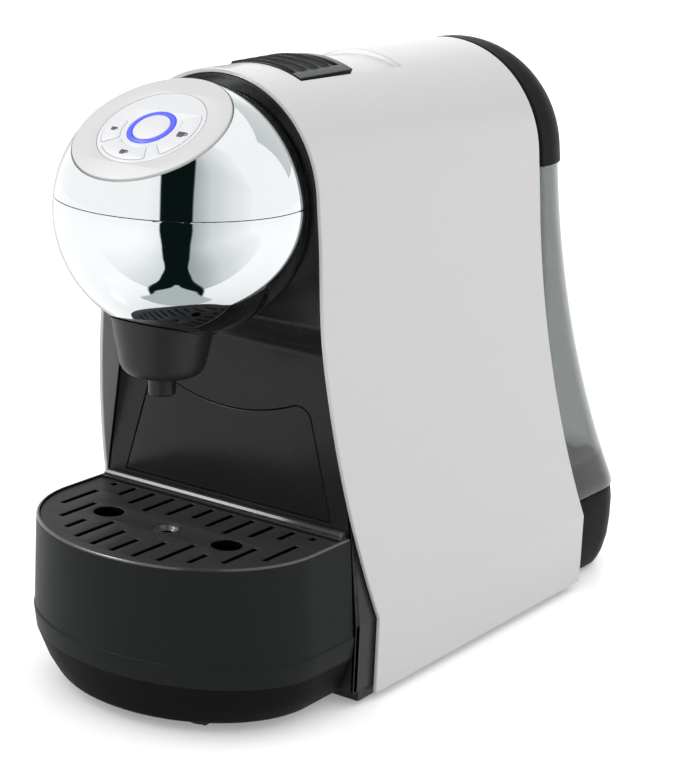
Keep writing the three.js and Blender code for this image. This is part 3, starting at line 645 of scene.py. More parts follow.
# ---------- ball head ----------
def ball_skin(name):
    """The ball as rings about the disc's axis, open for the disc."""
    rows = spread(math.asin((DISC_R + DISC_GAP) / BALL_R), math.pi, 150)
    steps = 240
    points = []
    for angle in rows[:-1]:
        height = BALL_R * math.cos(angle)
        points += [(x, y, height) for x, y in circle(0, 0, BALL_R * math.sin(angle), steps)]
    points.append((0, 0, -BALL_R))
    faces = []
    for r in range(len(rows) - 2):
        for i in range(steps):
            j = (i + 1) % steps
            faces.append((r * steps + i, (r + 1) * steps + i, (r + 1) * steps + j, r * steps + j))
    last = (len(rows) - 2) * steps
    for i in range(steps):
        faces.append((last + i, len(points) - 1, last + (i + 1) % steps))
    return mesh_piece(name, points, faces, disc_place)


def ball_patch(name, side):
    """Part of the ball above (side 1) or below (side -1) the seam, open for the disc and at the back."""
    patch = ball_skin(name)
    work = bmesh.new()
    work.from_mesh(patch.data)
    cuts = [(place((0, 0, BALL_SEAM_Z + side * SEAM_GAP / 2)), Vector((0, 0, -side))),
            (place((0, BALL_BACK_Y, BALL_Z)), Vector((0, 1, 0)))]
    for point, normal in cuts:
        bmesh.ops.bisect_plane(work, geom=work.verts[:] + work.edges[:] + work.faces[:], dist=1e-7,
                               plane_co=point, plane_no=normal, clear_outer=True)
    bmesh.ops.remove_doubles(work, verts=work.verts, dist=2e-6)
    work.to_mesh(patch.data)
    work.free()
    polygon = patch.data.polygons[0]
    if polygon.normal.dot(polygon.center - place((0, 0, BALL_Z))) < 0:
        patch.data.flip_normals()
    solidify(patch, BALL_WALL)
    return bevel(patch, 0.35, 3, 50)


def make_lower_ball():
    patch = bake_modifiers(ball_patch("head_lower_skin", -1))
    return cut(patch, cylinder_z("outlet_cutter", OUTLET_R, CUP_Y, (150, 200), 64))


def cup_profile():
    """(radius, height) of the cup's outside from its hole up, and of its inside back down to the hole."""
    up = CUP_BOTTOM
    bend_r, bend, rise = 19.5, 9, 15
    outside = [(CUP_HOLE_R, up), (12, up), (14.4, up + 0.5), (16.4, up + 1.6), (17.7, up + 3),
               (18.6, up + 4.8), (19.1, up + 6.6), (bend_r, up + bend)]
    outside += [(bend_r + (CUP_R - bend_r) * t, up + bend + rise * t) for t in spread(0, 1, 8)[1:]]
    inside = [(CUP_R - 2.6, up + bend + rise), (17, up + 9.6), (15.4, up + 5.6), (11, up + 3.2),
              (CUP_HOLE_R, up + 3.2)]
    return outside, inside


def under_ball(radius, angle):
    """Height just under the ball, at a radius and angle round the cup's axis."""
    x, y = radius * math.cos(angle), CUP_Y + radius * math.sin(angle)
    return BALL_Z - math.sqrt((BALL_R + CUP_GAP) ** 2 - x * x - y * y)


def make_cup():
    """Cup under the ball; its top edge follows the ball's surface."""
    outside, inside = cup_profile()
    start = outside[-1][1]
    inner_r = CUP_R - CUP_WALL
    steps = 120
    points = []
    for i in range(steps):
        angle = 2 * math.pi * i / steps
        rise = []
        for share in spread(0, 1, 6)[1:]:
            radius = CUP_R + CUP_FLARE * share
            rise.append((radius, start + (under_ball(radius, angle) - start) * share))
        profile = outside + rise + [(inner_r, under_ball(inner_r, angle))] + inside
        points += [(r * math.cos(angle), CUP_Y + r * math.sin(angle), z) for r, z in profile]
    faces = ring_faces(steps, len(points) // steps)
    cup = outward(mesh_piece("cup_skin", points, faces, smooth_angle=SOFT_ANGLE))
    return bevel(cup, 0.3, 2, 50)


def make_spout():
    low = SPOUT_BOTTOM
    shoulder = CUP_BOTTOM - 0.4
    top = CUP_BOTTOM + 8
    profile = [(2, low), (4.8, low), (5.6, low + 0.3), (6.1, low + 1), (6.1, shoulder), (4, shoulder),
               (4, top), (2, top)]
    spout = turned_piece("spout_skin", profile, CUP_Y, 48)
    cut(spout, block("groove_cutter", (-8, 8), (CUP_Y - 0.5, CUP_Y + 0.5), (low - 1, low + 6)))
    return bevel(spout, 0.2, 2, 50)


# ---------- control disc ----------
KEYS = {  # the middle of each key and its half angle, in degrees
    "key_left": (197, 23), "key_front": (261, 36), "key_right": (354, 39),
}
KEY_RADII = (13.8, 22.0)
KEY_CORNER = 1.2
KEY_GAP = 0.13
ICONS = {  # radius, degrees, size
    "key_left": (17.8, -165, 1.05), "key_front": (18.0, -98, 1.3), "key_right": (17.0, -6, 1.6),
}
LIGHT_RADII = (8.6, 10.8)
FACE_HOLE_R = 11.0
BUTTON_R = 8.3


def polar(radius, degrees):
    return (radius * math.cos(math.radians(degrees)), radius * math.sin(math.radians(degrees)))


def key_outline(middle, half, grow):
    """Ring segment with rounded corners: along the outer arc, then back along the inner one."""
    points = []
    for radius, sign in ((KEY_RADII[1] + grow, 1), (KEY_RADII[0] - grow, -1)):
        reach = sign * (half + math.degrees(grow / radius))
        trim = sign * math.degrees(KEY_CORNER / radius)
        first, last = middle - reach, middle + reach
        for share in spread(0, 1, 4)[:-1]:
            swing = math.radians(90 * share)
            points.append(polar(radius - sign * KEY_CORNER * (1 - math.sin(swing)),
                                first + trim * (1 - math.cos(swing))))
        points += [polar(radius, degrees) for degrees in spread(first + trim, last - trim, 24)]
        for share in spread(0, 1, 4)[1:]:
            swing = math.radians(90 * share)
            points.append(polar(radius - sign * KEY_CORNER * (1 - math.cos(swing)),
                                last - trim * (1 - math.sin(swing))))
    return points


def cup_icon(name, radius, degrees, size):
    """A plain cup pictogram: a bowl with a handle, printed on a key."""
    cx, cy = polar(radius, degrees)
    bowl = [(-1.3, 1.1), (1.3, 1.1), (1.2, -0.2), (0.8, -1.0), (-0.8, -1.0), (-1.2, -0.2)]
    handle = arc(1.3, 0.3, 0.75, 0.65, -90, 90, 10) + arc(1.3, 0.3, 0.4, 0.32, 90, -90, 10)
    low, high = DISC_TOP + 0.08, DISC_TOP + 0.16
    parts = []
    for i, shape in enumerate((bowl, handle)):
        moved = [(cx + size * x, cy + size * y) for x, y in shape]
        parts.append(plate(f"{name}_{i}", [moved], low, high, 0.02, disc_place))
    return join(name, *parts)


def make_disc_pieces():
    """Plates of the control disc by node name, each with its bottom and top measured from DISC_TOP."""
    ring = [circle(0, 0, DISC_R, 144), circle(0, 0, KEYPAD_R + 0.15, 120)]
    holes = [key_outline(middle, half, KEY_GAP) for middle, half in KEYS.values()]
    face = [circle(0, 0, KEYPAD_R, 120), circle(0, 0, FACE_HOLE_R, 96)] + holes
    glow = [circle(0, 0, LIGHT_RADII[1], 96), circle(0, 0, LIGHT_RADII[0], 96)]
    plates = {
        "control_ring": ("ring_skin", ring, -2, 0, 0.3),
        "keypad_frame": ("keypad_skin", face, -2, -0.1, 0.08),
        "light_ring": ("light_skin", glow, -2.4, 0.1, 0.25),
        "power_button": ("button_skin", [circle(0, 0, BUTTON_R, 96)], -3.4, 0.2, 0.3),
    }
    for name, (middle, half) in KEYS.items():
        plates[name] = (f"{name}_skin", [key_outline(middle, half, 0)], -3.4, 0.1, 0.15)
    return {node: plate(name, outlines, DISC_TOP + low, DISC_TOP + high, rounding, disc_place)
            for node, (name, outlines, low, high, rounding) in plates.items()}


# ---------- drip tray ----------
def row_at(rows, z):
    """Measures at a height, straight between the given rows, whose first value is the height."""
    for low, high in zip(rows, rows[1:]):
        if z <= high[0]:
            share = (z - low[0]) / (high[0] - low[0])
            return (z,) + tuple(a + (b - a) * share for a, b in zip(low[1:], high[1:]))
    return rows[-1]


def tray_outline(row, inset, back_inset=None):
    """Round in front and straight behind; the back can be set in by its own amount."""
    _, half, depth, centre = row
    back = TRAY_BACK_Y - (inset if back_inset is None else back_inset)
    front = arc(0, centre, half - inset, depth - inset, 180, 360, 120)
    right = [(half - inset, centre + (back - centre) * t) for t in spread(0, 1, 6)[1:]]
    left = [(-x, y) for x, y in reversed(right)]
    across = [((half - inset) * t, back) for t in spread(1, -1, 12)[1:-1]]
    return front + right + across + left


def tray_ring(z, inset, back_inset=None):
    return [(x, y, z) for x, y in tray_outline(row_at(TRAY_ROWS, z), inset, back_inset)]


def make_tray():
    """Tray with a step round it at the waist, and a ledge inside the rim that the grille lies on."""
    low, waist, top = TRAY_BOTTOM, TRAY_WAIST, TRAY_TOP
    outside = [(low, 3.2), (low, 1.4), (low + 0.4, 0.6), (low + 1.4, 0.15)]
    outside += [(z, 0) for z in (8.5, 11, 14, 18, 22, 25.4, 26, 26.6, 31, 35)]
    outside += [(waist - 0.4, 0.05), (waist - 0.1, 0.2), (waist + 0.1, 0.5)]
    outside += [(z, 0.5) for z in [waist + 0.6] + spread(waist + 2, top - 1.6, 22)]
    outside += [(top - 1, 0.55), (top - 0.6, 0.7), (top - 0.25, 0.95), (top - 0.05, 1.3), (top, 1.6)]
    rings = [tray_ring(z, inset) for z, inset in outside]
    ledge = GRILLE_TOP - GRILLE_THICK - 0.4
    rings += [tray_ring(top - 0.1, 1.8, 5.6), tray_ring(ledge, 1.8, 5.6), tray_ring(ledge, 5, 8),
              tray_ring(ledge - 3.4, 5, 8), tray_ring(ledge - 5, 2.6, 6)]
    rings += [tray_ring(z, 2.6) for z in (60, waist, 26, 14)]
    rings += [tray_ring(low + 3.9, 3.0), tray_ring(low + 2.6, 5)]
    return loft("tray_skin", rings, smooth_angle=38)


def make_ridge():
    """Ridge along the tray's rear edge, in a lighter black than the tray as a painted highlight."""
    top = TRAY_TOP
    profile = [(31.3, top - 5), (35.8, top - 5), (35.8, top + 1.8), (34.9, top + 2.5), (33.6, top + 2.7),
               (32.3, top + 2.4), (31.3, top + 1.4)]
    half = 68.6
    ridge = loft("ridge_skin", [[(x, y, z) for y, z in profile] for x in spread(-half, half, 12)])
    return bevel(ridge, 0.4, 3, 60)


def slot_outline(x, y0, y1):
    corner = 0.5
    reach = SLOT_WIDTH / 2 - corner
    outline = []
    for cx, cy, start in ((x + reach, y1 - corner, 0), (x - reach, y1 - corner, 90),
                          (x - reach, y0 + corner, 180), (x + reach, y0 + corner, 270)):
        outline += arc(cx, cy, corner, corner, start, start + 90, 4)
    return outline


def grille_slots():
    slots = []
    for i, (start, end, rear_start) in enumerate(GRILLE_SLOTS):
        for x in sorted({-i * SLOT_PITCH, i * SLOT_PITCH}):
            slots.append(slot_outline(x, start, end))
            slots.append(slot_outline(x, rear_start, REAR_SLOT_END))
    return slots


def make_grille():
    low = GRILLE_TOP - GRILLE_THICK
    wide, narrow = CENTRE_HOLE
    holes = [circle(x, DRIP_HOLE_Y, r, 64) for x, r in DRIP_HOLES + [(0, wide + 0.6)]]
    outline = tray_outline(TRAY_RIM, 2.2, 6.1)
    sheet = plate("grille_sheet", [outline] + holes + grille_slots(), low, GRILLE_TOP, 0.4)
    wall = [(wide + 0.7, GRILLE_TOP - 0.5), (wide + 0.3, GRILLE_TOP - 0.05), (wide - 0.1, GRILLE_TOP - 0.2)]
    for t in spread(0.1, 1, 6):
        wall.append((wide - 0.5 * t - (wide - narrow - 0.5) * t * t, GRILLE_TOP - 0.3 - 2.2 * t))
    wall += [(narrow, low - 0.2), (wide + 0.7, low)]
    return join("grille_skin", sheet, turned_piece("funnel", wall, DRIP_HOLE_Y, 72))


# ---------- used-pod bin ----------
def make_bin():
    front = plate("bin_front", [bin_outline(0)], -PANEL_LOW_Y - PANEL_WALL, -PANEL_LOW_Y, 0.4,
                  facing_front_place)
    half, wall = BIN_BOX_HALF, BIN_WALL
    box_y = PANEL_LOW_Y + PANEL_WALL - 0.1
    box = block("bin_box", (-half, half), (box_y, BIN_BACK_Y), (BIN_BOTTOM, BIN_BOX_TOP))
    room = block("bin_room", (wall - half, half - wall), (box_y + wall, BIN_BACK_Y - wall),
                 (BIN_BOTTOM + wall, BIN_BOX_TOP + 20))
    cut(box, room)
    return join("bin_skin", front, bake_modifiers(bevel(box, 0.8, 3)))


# ---------- water tank, lid and foot ----------
def rounded_ring(z, half, front, back, rear_corner):
    """A level outline with small corners in front and large ones behind."""
    corners = [
        (half - rear_corner, back - rear_corner, rear_corner, 0, 24),
        (rear_corner - half, back - rear_corner, rear_corner, 90, 24),
        (FRONT_CORNER - half, front + FRONT_CORNER, FRONT_CORNER, 180, 8),
        (half - FRONT_CORNER, front + FRONT_CORNER, FRONT_CORNER, 270, 8),
    ]
    ring = []
    for x, y, radius, start, steps in corners:
        ring += arc(x, y, radius, radius, start, start + 90, steps)
    return [(x, y, z) for x, y in ring]


def tank_ring(z, inset):
    half = TANK_HALF + (TANK_TOP - z) * TANK_LEAN
    front = max(rear_edge(z) + TANK_GAP, LID_FRONT_Y)
    back = LID_BACK_Y + max(TANK_SWEEP_TOP - z, 0) ** 2 / TANK_SWEEP
    return rounded_ring(z, half - inset, front + inset, back - inset, REAR_CORNER - inset)


def knuckle(name, from_x, to_x, ys, zs):
    """A hinge barrel with the arm that holds it."""
    ends = [[(x, y, z) for y, z in circle(HINGE_Y, HINGE_Z, KNUCKLE_R, 32)] for x in (from_x, to_x)]
    barrel = loft(name, ends)
    arm = block(f"{name}_arm", (from_x, to_x), ys, zs)
    return join(name, barrel, arm)


def make_tank():
    levels = spread(TANK_BOTTOM + 1.6, TANK_TOP, 36)
    rings = [tank_ring(TANK_BOTTOM, 1.6), tank_ring(TANK_BOTTOM + 0.4, 0.6)]
    rings += [tank_ring(z, 0) for z in levels]
    fillet_top = TANK_BOTTOM + 3 + TANK_FILLET
    rings += [tank_ring(z, TANK_WALL) for z in reversed(levels) if z > fillet_top]
    for degrees in spread(0, 90, 12):
        swing = math.radians(degrees)
        inset = TANK_WALL + TANK_FILLET * 0.8 * (1 - math.cos(swing))
        rings.append(tank_ring(fillet_top - TANK_FILLET * math.sin(swing), inset))
    tank = cut(loft("tank_body", rings), cylinder_z("valve_cutter", VALVE_R, VALVE_Y, (30, 60), 48))
    ear = knuckle("tank_ear", -7, 7, (LID_BACK_Y - 1, HINGE_Y), (HINGE_Z - KNUCKLE_R, HINGE_Z))
    return join("tank_skin", tank, ear)


def lid_section(y, inset, low):
    """The arch's outline at y, drawn in as the lid rounds off at the back."""
    round_off = max(y - (LID_BACK_Y - REAR_CORNER), 0)
    pull = REAR_CORNER - math.sqrt(max(REAR_CORNER ** 2 - round_off ** 2, 0))
    radius = ARCH_R - inset - pull
    lean = math.degrees(SIDE_LEAN)
    foot_x = side_half(low, inset + pull)
    crown = arc(0, ARCH_Z, radius, radius, lean, 180 - lean, 72)
    return [(x, y, z) for x, z in [(foot_x, low)] + crown + [(-foot_x, low)]]


def lid_rings(inset, low, first):
    start = LID_BACK_Y - REAR_CORNER
    ys = [first] + spread(first + 0.5, start, 4)
    ys += [start + (REAR_CORNER - inset) * math.sin(math.radians(a)) for a in spread(0, 82, 28)[1:]]
    return [lid_section(y, inset, low) for y in ys]


def make_lid():
    edge = [lid_section(LID_FRONT_Y, 1.0, LID_BOTTOM), lid_section(LID_FRONT_Y + 0.3, 0.4, LID_BOTTOM)]
    outer = loft("lid_body", edge + lid_rings(0, LID_BOTTOM, LID_FRONT_Y + 1.0), smooth_angle=SOFT_ANGLE)
    inner = loft("lid_room", lid_rings(LID_WALL, LID_BOTTOM - 4, LID_FRONT_Y + LID_WALL),
                 smooth_angle=SOFT_ANGLE)
    cut(outer, inner)
    ears = []
    for i, (low_x, high_x) in enumerate(((-22, -7.5), (7.5, 22))):
        ears.append(knuckle(f"lid_ear_{i}", low_x, high_x, (LID_BACK_Y - 4, HINGE_Y - 0.2),
                            (LID_BOTTOM, HINGE_Z + KNUCKLE_R)))
    return join("lid_skin", outer, *ears)


REAR_BASE_ROWS = [  # height, half width, back
    (3, 68.5, 304.5), (9, 70.8, 306), (17, 72.4, 307.3), (27, 73, 307.8), (38, 73, 307.8),
    (45.8, 72.2, 306.8),
]
REAR_BASE_WALL = 2.8
VALVE_ROOM_R = 14.0
GLAND_R = 5.9
NOTCH_HALF = 60.6


def rear_base_ring(z, inset):
    _, half, back = row_at(REAR_BASE_ROWS, z)
    return rounded_ring(z, half - inset, REAR_BASE_FRONT_Y + inset, back - inset, REAR_CORNER - inset)


def make_rear_base():
    low, top = REAR_BASE_ROWS[0][0], REAR_BASE_ROWS[-1][0]
    outside = [(low, 2.6), (low, 0.8), (low + 0.6, 0.2)] + [(z, 0) for z in spread(low + 2, top - 1.2, 22)]
    outside += [(top - 0.6, 0.3), (top - 0.2, 0.8), (top, 1.6)]
    body = loft("rear_base_body", [rear_base_ring(z, inset) for z, inset in outside], smooth_angle=38)
    return cut(
        body,
        loft("rear_base_room", [rear_base_ring(z, REAR_BASE_WALL) for z in spread(2, 43, 10)]),
        cylinder_z("valve_room", VALVE_ROOM_R, VALVE_Y, (30, 60), 64),
        cylinder_y("gland_room", GLAND_R, (GLAND[0], GLAND[2]), (300, 330), 48),
        block("notch", (-NOTCH_HALF, NOTCH_HALF), (240, 252), (0, 8.4)),
    )


def make_foot(name, spot):
    """Rubber foot, drawn from the middle of its underside outwards and back to the middle of its top."""
    x, y = spot
    profile = [(0.01, 0), (5.6, 0), (6.0, 0.15), (6.2, 0.5), (6.9, 2.9), (6.7, 3.4), (6.3, 3.5),
               (0.01, 3.5)]
    return loft(f"{name}_skin", [[(u, v, z) for u, v in circle(x, y, r, 48)] for r, z in profile])


# ---------- materials ----------
SLOW_MOTTLE = 35  # sizes of the noises, mm
UNEVEN_GLOSS = 9
BUMP_DEPTH = 0.1


def node_material(name, color, roughness, metallic=0.0, grain=0.0, grain_size=0.4, mottle=0.04,
                  roughness_spread=0.05, ior=None, **sockets):
    """Principled material with slow colour mottling, uneven gloss and a fine moulded or brushed grain.

    More socket values can be given by name, with an underscore for each space.
    """
    material = bpy.data.materials.new(name.replace("_", " "))
    material.use_nodes = True
    nodes, links = material.node_tree.nodes, material.node_tree.links
    shader = nodes["Principled BSDF"]
    coords = nodes.new("ShaderNodeTexCoord")

    def noise(size_mm, detail):
        texture = nodes.new("ShaderNodeTexNoise")
        texture.inputs["Scale"].default_value = 1 / (size_mm * MM)
        texture.inputs["Detail"].default_value = detail
        links.new(coords.outputs["Object"], texture.inputs["Vector"])
        return texture

    slow = noise(SLOW_MOTTLE, 3)
    shade = nodes.new("ShaderNodeMix")
    shade.data_type = "RGBA"
    shade.inputs["A"].default_value = (*[c * (1 - mottle) for c in color], 1)
    shade.inputs["B"].default_value = (*[min(c * (1 + mottle), 1) for c in color], 1)
    links.new(slow.outputs["Fac"], shade.inputs["Factor"])
    links.new(shade.outputs["Result"], shader.inputs["Base Color"])

    uneven = noise(UNEVEN_GLOSS, 4)
    gloss = nodes.new("ShaderNodeMapRange")
    gloss.inputs["To Min"].default_value = max(roughness - roughness_spread, 0.0)
    gloss.inputs["To Max"].default_value = roughness + roughness_spread
    links.new(uneven.outputs["Fac"], gloss.inputs["Value"])
    links.new(gloss.outputs["Result"], shader.inputs["Roughness"])
    shader.inputs["Metallic"].default_value = metallic

    if grain > 0:
        fine = noise(grain_size, 2)
        bump = nodes.new("ShaderNodeBump")
        bump.inputs["Strength"].default_value = grain
        bump.inputs["Distance"].default_value = BUMP_DEPTH * MM
        links.new(fine.outputs["Fac"], bump.inputs["Height"])
        links.new(bump.outputs["Normal"], shader.inputs["Normal"])
    if ior:
        shader.inputs["IOR"].default_value = ior
    for socket, value in sockets.items():
        shader.inputs[socket.replace("_", " ")].default_value = value
    return material


def smoke_in(material, color, density):
    """Absorption inside the walls, so thick and edge-on parts look darker."""
    nodes, links = material.node_tree.nodes, material.node_tree.links
    smoke = nodes.new("ShaderNodeVolumeAbsorption")
    smoke.inputs["Color"].default_value = (*color, 1)
    smoke.inputs["Density"].default_value = density
    links.new(smoke.outputs["Volume"], nodes["Material Output"].inputs["Volume"])


def make_materials():
    made = {}

    def add(name, color, roughness, **options):
        made[name] = node_material(name, color, roughness, **options)

    add("shell_white", (0.437, 0.437, 0.434), 0.3, grain=0.05, grain_size=0.8, mottle=0.006,
        Coat_Weight=0.3, Coat_Roughness=0.12)
    add("chrome", (0.645, 0.665, 0.675), 0.035, metallic=1.0, mottle=0.01, roughness_spread=0.012)
    add("black_satin", (0.0135, 0.0138, 0.014), 0.42, grain=0.2, grain_size=0.35, ior=1.3)
    add("panel_gloss", (0.013, 0.013, 0.0133), 0.26, grain=0.05, grain_size=0.5, mottle=0.1, ior=1.27)
    add("tray_satin", (0.0125, 0.0138, 0.0142), 0.4, grain=0.08, grain_size=0.35, ior=1.12)
    # A darker copy of the tray's black: painted shade on the tray's lower band by the floor.
    add("tray_skirt_painted_shade", (0.0055, 0.0056, 0.0058), 0.45, grain=0.1, grain_size=0.35, ior=1.08)
    add("rear_satin", (0.0095, 0.0098, 0.0095), 0.4, grain=0.1, grain_size=0.35, ior=1.08)
    add("grille_satin", (0.024, 0.024, 0.0255), 0.4, grain=0.2, grain_size=0.35, ior=1.25)
    # Lighter than the tray's black: real gloss plus a painted highlight, on the ridge and the tray's rim.
    add("gloss_painted_highlight", (0.03, 0.03, 0.03), 0.16, grain=0.03, mottle=0.1, ior=1.6)
    # Near black: painted shade on the grille's hole and edge walls.
    add("grille_walls_painted_shade", (0.0015, 0.0015, 0.0016), 0.6, ior=1.1)
    # Lighter grey than the grille: real gloss plus a painted highlight in the centre funnel.
    add("funnel_painted_highlight", (0.06, 0.06, 0.06), 0.16, grain=0.05)
    add("black_gloss", (0.003, 0.005, 0.005), 0.2, grain=0.03, grain_size=0.6, ior=1.35)
    add("trim_grey", (0.425, 0.43, 0.425), 0.38, grain=0.12, grain_size=0.3, mottle=0.015)
    add("keypad_white", (0.50, 0.505, 0.52), 0.42, grain=0.08, grain_size=0.3, mottle=0.01)
    add("light_blue", (0.005, 0.01, 0.3), 0.35, mottle=0.08,
        Emission_Color=(0.012, 0.045, 0.95, 1), Emission_Strength=0.85)
    add("tank_clear", (0.72, 0.735, 0.74), 0.04, mottle=0.02, roughness_spread=0.02, ior=1.4,
        Transmission_Weight=1.0)
    add("rubber", (0.02, 0.02, 0.02), 0.75, grain=0.4, grain_size=0.5)
    add("steel", (0.62, 0.63, 0.64), 0.28, metallic=1.0, grain=0.1, grain_size=0.3)
    add("aluminium", (0.68, 0.69, 0.7), 0.42, metallic=1.0, grain=0.3, grain_size=0.5)
    add("circuit_board", (0.02, 0.16, 0.07), 0.45, grain=0.1, mottle=0.2)
    add("inner_plastic", (0.07, 0.072, 0.075), 0.5, grain=0.3, grain_size=0.5)
    add("hose", (0.75, 0.74, 0.7), 0.45, grain=0.05, mottle=0.03)
    add("pump_metal", (0.55, 0.38, 0.16), 0.35, metallic=0.8, grain=0.15, mottle=0.1)
    add("icon_ink", (0.012, 0.012, 0.014), 0.5, mottle=0.1)
    smoke_in(made["tank_clear"], (0.5, 0.525, 0.52), 520)
    return made


CARRIED = {
    "black_satin": ["rear_panel", "base_chassis"],
    "inner_plastic": ["head_frame", "pod_chute", "tank_valve", "valve_socket", "inner_frame", "brew_body",
                      "brew_ram", "gear_motor", "flow_meter"],
    "rubber": ["cord_gland", "pump_mount_front", "pump_mount_rear"],
    "steel": ["lid_hinge_pin", "drive_screw", "frame_screw_1", "frame_screw_2", "frame_screw_3",
              "frame_screw_4", "rear_base_screw_1", "rear_base_screw_2"],
    "aluminium": ["thermoblock"],
    "circuit_board": ["keypad_board", "control_board"],
    "pump_metal": ["pump"],
    "hose": ["outlet_tube", "hose_tank_to_meter", "hose_meter_to_pump", "hose_pump_to_heater",
             "hose_heater_to_brew"],
}


def dress(piece, look, body, *cad_nodes, slot=None):
    piece.data.materials.clear()
    piece.data.materials.append(MATERIALS[look])
    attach(piece, body)
    if cad_nodes:
        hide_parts(*cad_nodes)


def paint_faces(piece, looks, choose):
    """Adds looks after the piece's own, and gives each face the one that choose returns the index of."""
    for look in looks:
        piece.data.materials.append(MATERIALS[look])
    for face in piece.data.polygons:
        face.material_index = choose(face)


def tray_look(face):
    height = face.center.z / MM
    # Faces below SKIRT_TOP get the darker copy, painted shade by the floor.
    if height < SKIRT_TOP:
        return 1
    # Faces above RIM_BOTTOM get the lighter gloss, a painted highlight along the rim.
    return 2 if height > RIM_BOTTOM else 0


def grille_look(face):
    # Faces round the centre hole get the lighter grey, a painted highlight.
    from_funnel = (face.center - place((0, DRIP_HOLE_Y, GRILLE_TOP))).xy.length
    if from_funnel < CENTRE_HOLE[0] * MM:
        return 2
    below_top = face.center.z < (GRILLE_TOP - 0.3) * MM
    # Walls below the grille's top get the near black, as painted shade in the holes.
    return 1 if below_top and abs(face.normal.z) < 0.5 else 0


def dress_carried():
    """Looks for the CAD nodes that are kept as they are."""
    for look, names in CARRIED.items():
        for name in names:
            mesh = NODES[name].data
            mesh.materials.clear()
            mesh.materials.append(MATERIALS[look])


# ---------- stage and light ----------
FLOOR_HALF = 6000
WORLD_STRENGTH = 1.35
SUN_STRENGTH = 0.95
SUN_ANGLE = math.radians(11)
SUN_DIRECTION = Vector((0.54, 0.12, -0.83))
SOFTBOX_STRENGTH = 10.0


def make_floor():
    half = FLOOR_HALF
    corners = [(-half, -half, 0), (half, -half, 0), (half, half, 0), (-half, half, 0)]
    floor = mesh_piece("floor", corners, [(0, 1, 2, 3)])
    look = node_material("floor", (0.93, 0.93, 0.93), 0.06, mottle=0.0, roughness_spread=0.03, ior=1.14)
    floor.data.materials.append(look)


def reflected_only(piece):
    """For stage pieces that show only in reflections."""
    piece.visible_camera = False
    piece.visible_diffuse = False
    piece.visible_shadow = False
    piece.visible_transmission = False


def shade_material(name, color, strength=1.0):
    """Plain emission that fades to clear by the mesh's own shade values."""
    material = bpy.data.materials.new(name)
    material.use_nodes = True
    nodes, links = material.node_tree.nodes, material.node_tree.links
    nodes.remove(nodes["Principled BSDF"])
    shade = nodes.new("ShaderNodeAttribute")
    shade.attribute_name = "shade"
    glow = nodes.new("ShaderNodeEmission")
    glow.inputs["Color"].default_value = (*color, 1)
    glow.inputs["Strength"].default_value = strength
    clear = nodes.new("ShaderNodeBsdfTransparent")
    mix = nodes.new("ShaderNodeMixShader")
    links.new(shade.outputs["Fac"], mix.inputs[0])
    links.new(clear.outputs["BSDF"], mix.inputs[1])
    links.new(glow.outputs["Emission"], mix.inputs[2])
    links.new(mix.outputs["Shader"], nodes["Material Output"].inputs["Surface"])
    return material


def flag_levels(edges):
    """Elevation, left and right of each level of a flag, eased between its rows."""
    levels = []
    for (low, low_left, low_right), (high, high_left, high_right) in zip(edges, edges[1:]):
        for part in spread(0, 1, 12):
            left = low_left + (high_left - low_left) * smooth_step(part)
            right = low_right + (high_right - low_right) * smooth_step(part)
            levels.append((math.radians(low + (high - low) * part), left, right))
    return levels


def make_flag(name, look, azimuth, radius, edges, profile, floor_z=1):
    """A studio flag bent round the ball, seen only in reflections.

    edges are rows of (elevation, left, right), with the elevation in degrees and the sides in mm.
    Below the horizon the flag lies just over the floor, at floor_z.
    profile lists (share of the width, density).
    """
    towards = Vector((math.sin(azimuth), -math.cos(azimuth), 0))
    across = Vector((math.cos(azimuth), math.sin(azimuth), 0))
    levels = flag_levels(edges)
    points = []
    for angle, left, right in levels:
        reach, rise = radius * math.cos(angle), BALL_Z + radius * math.sin(angle)
        if rise < floor_z:
            reach, rise = (BALL_Z - floor_z) / math.tan(-angle), floor_z
        middle = towards * reach * MM + Vector((0, FOOTPRINT_SHIFT * MM, rise * MM))
        points += [middle + across * (left + (right - left) * share) * MM for share, _ in profile]
    flag = mesh_piece(name, points, grid_faces(len(levels), len(profile)), put=Vector)
    shade = flag.data.attributes.new("shade", "FLOAT", "POINT")
    shade.data.foreach_set("value", [density for _ in levels for _, density in profile])
    flag.data.materials.append(look)
    reflected_only(flag)


def make_light():
    world = bpy.data.worlds.new("studio")
    bpy.context.scene.world = world
    world.use_nodes = True
    background = world.node_tree.nodes["Background"]
    background.inputs["Color"].default_value = (1.0, 1.0, 1.0, 1)
    background.inputs["Strength"].default_value = WORLD_STRENGTH
    sun = bpy.data.lights.new("overhead", "SUN")
    sun.energy = SUN_STRENGTH
    sun.angle = SUN_ANGLE
    sun.use_shadow = False
    lamp = bpy.data.objects.new("overhead", sun)
    bpy.context.scene.collection.objects.link(lamp)
    lamp.rotation_euler = SUN_DIRECTION.to_track_quat("-Z", "Y").to_euler()
    bpy.context.scene.view_settings.view_transform = "Standard"


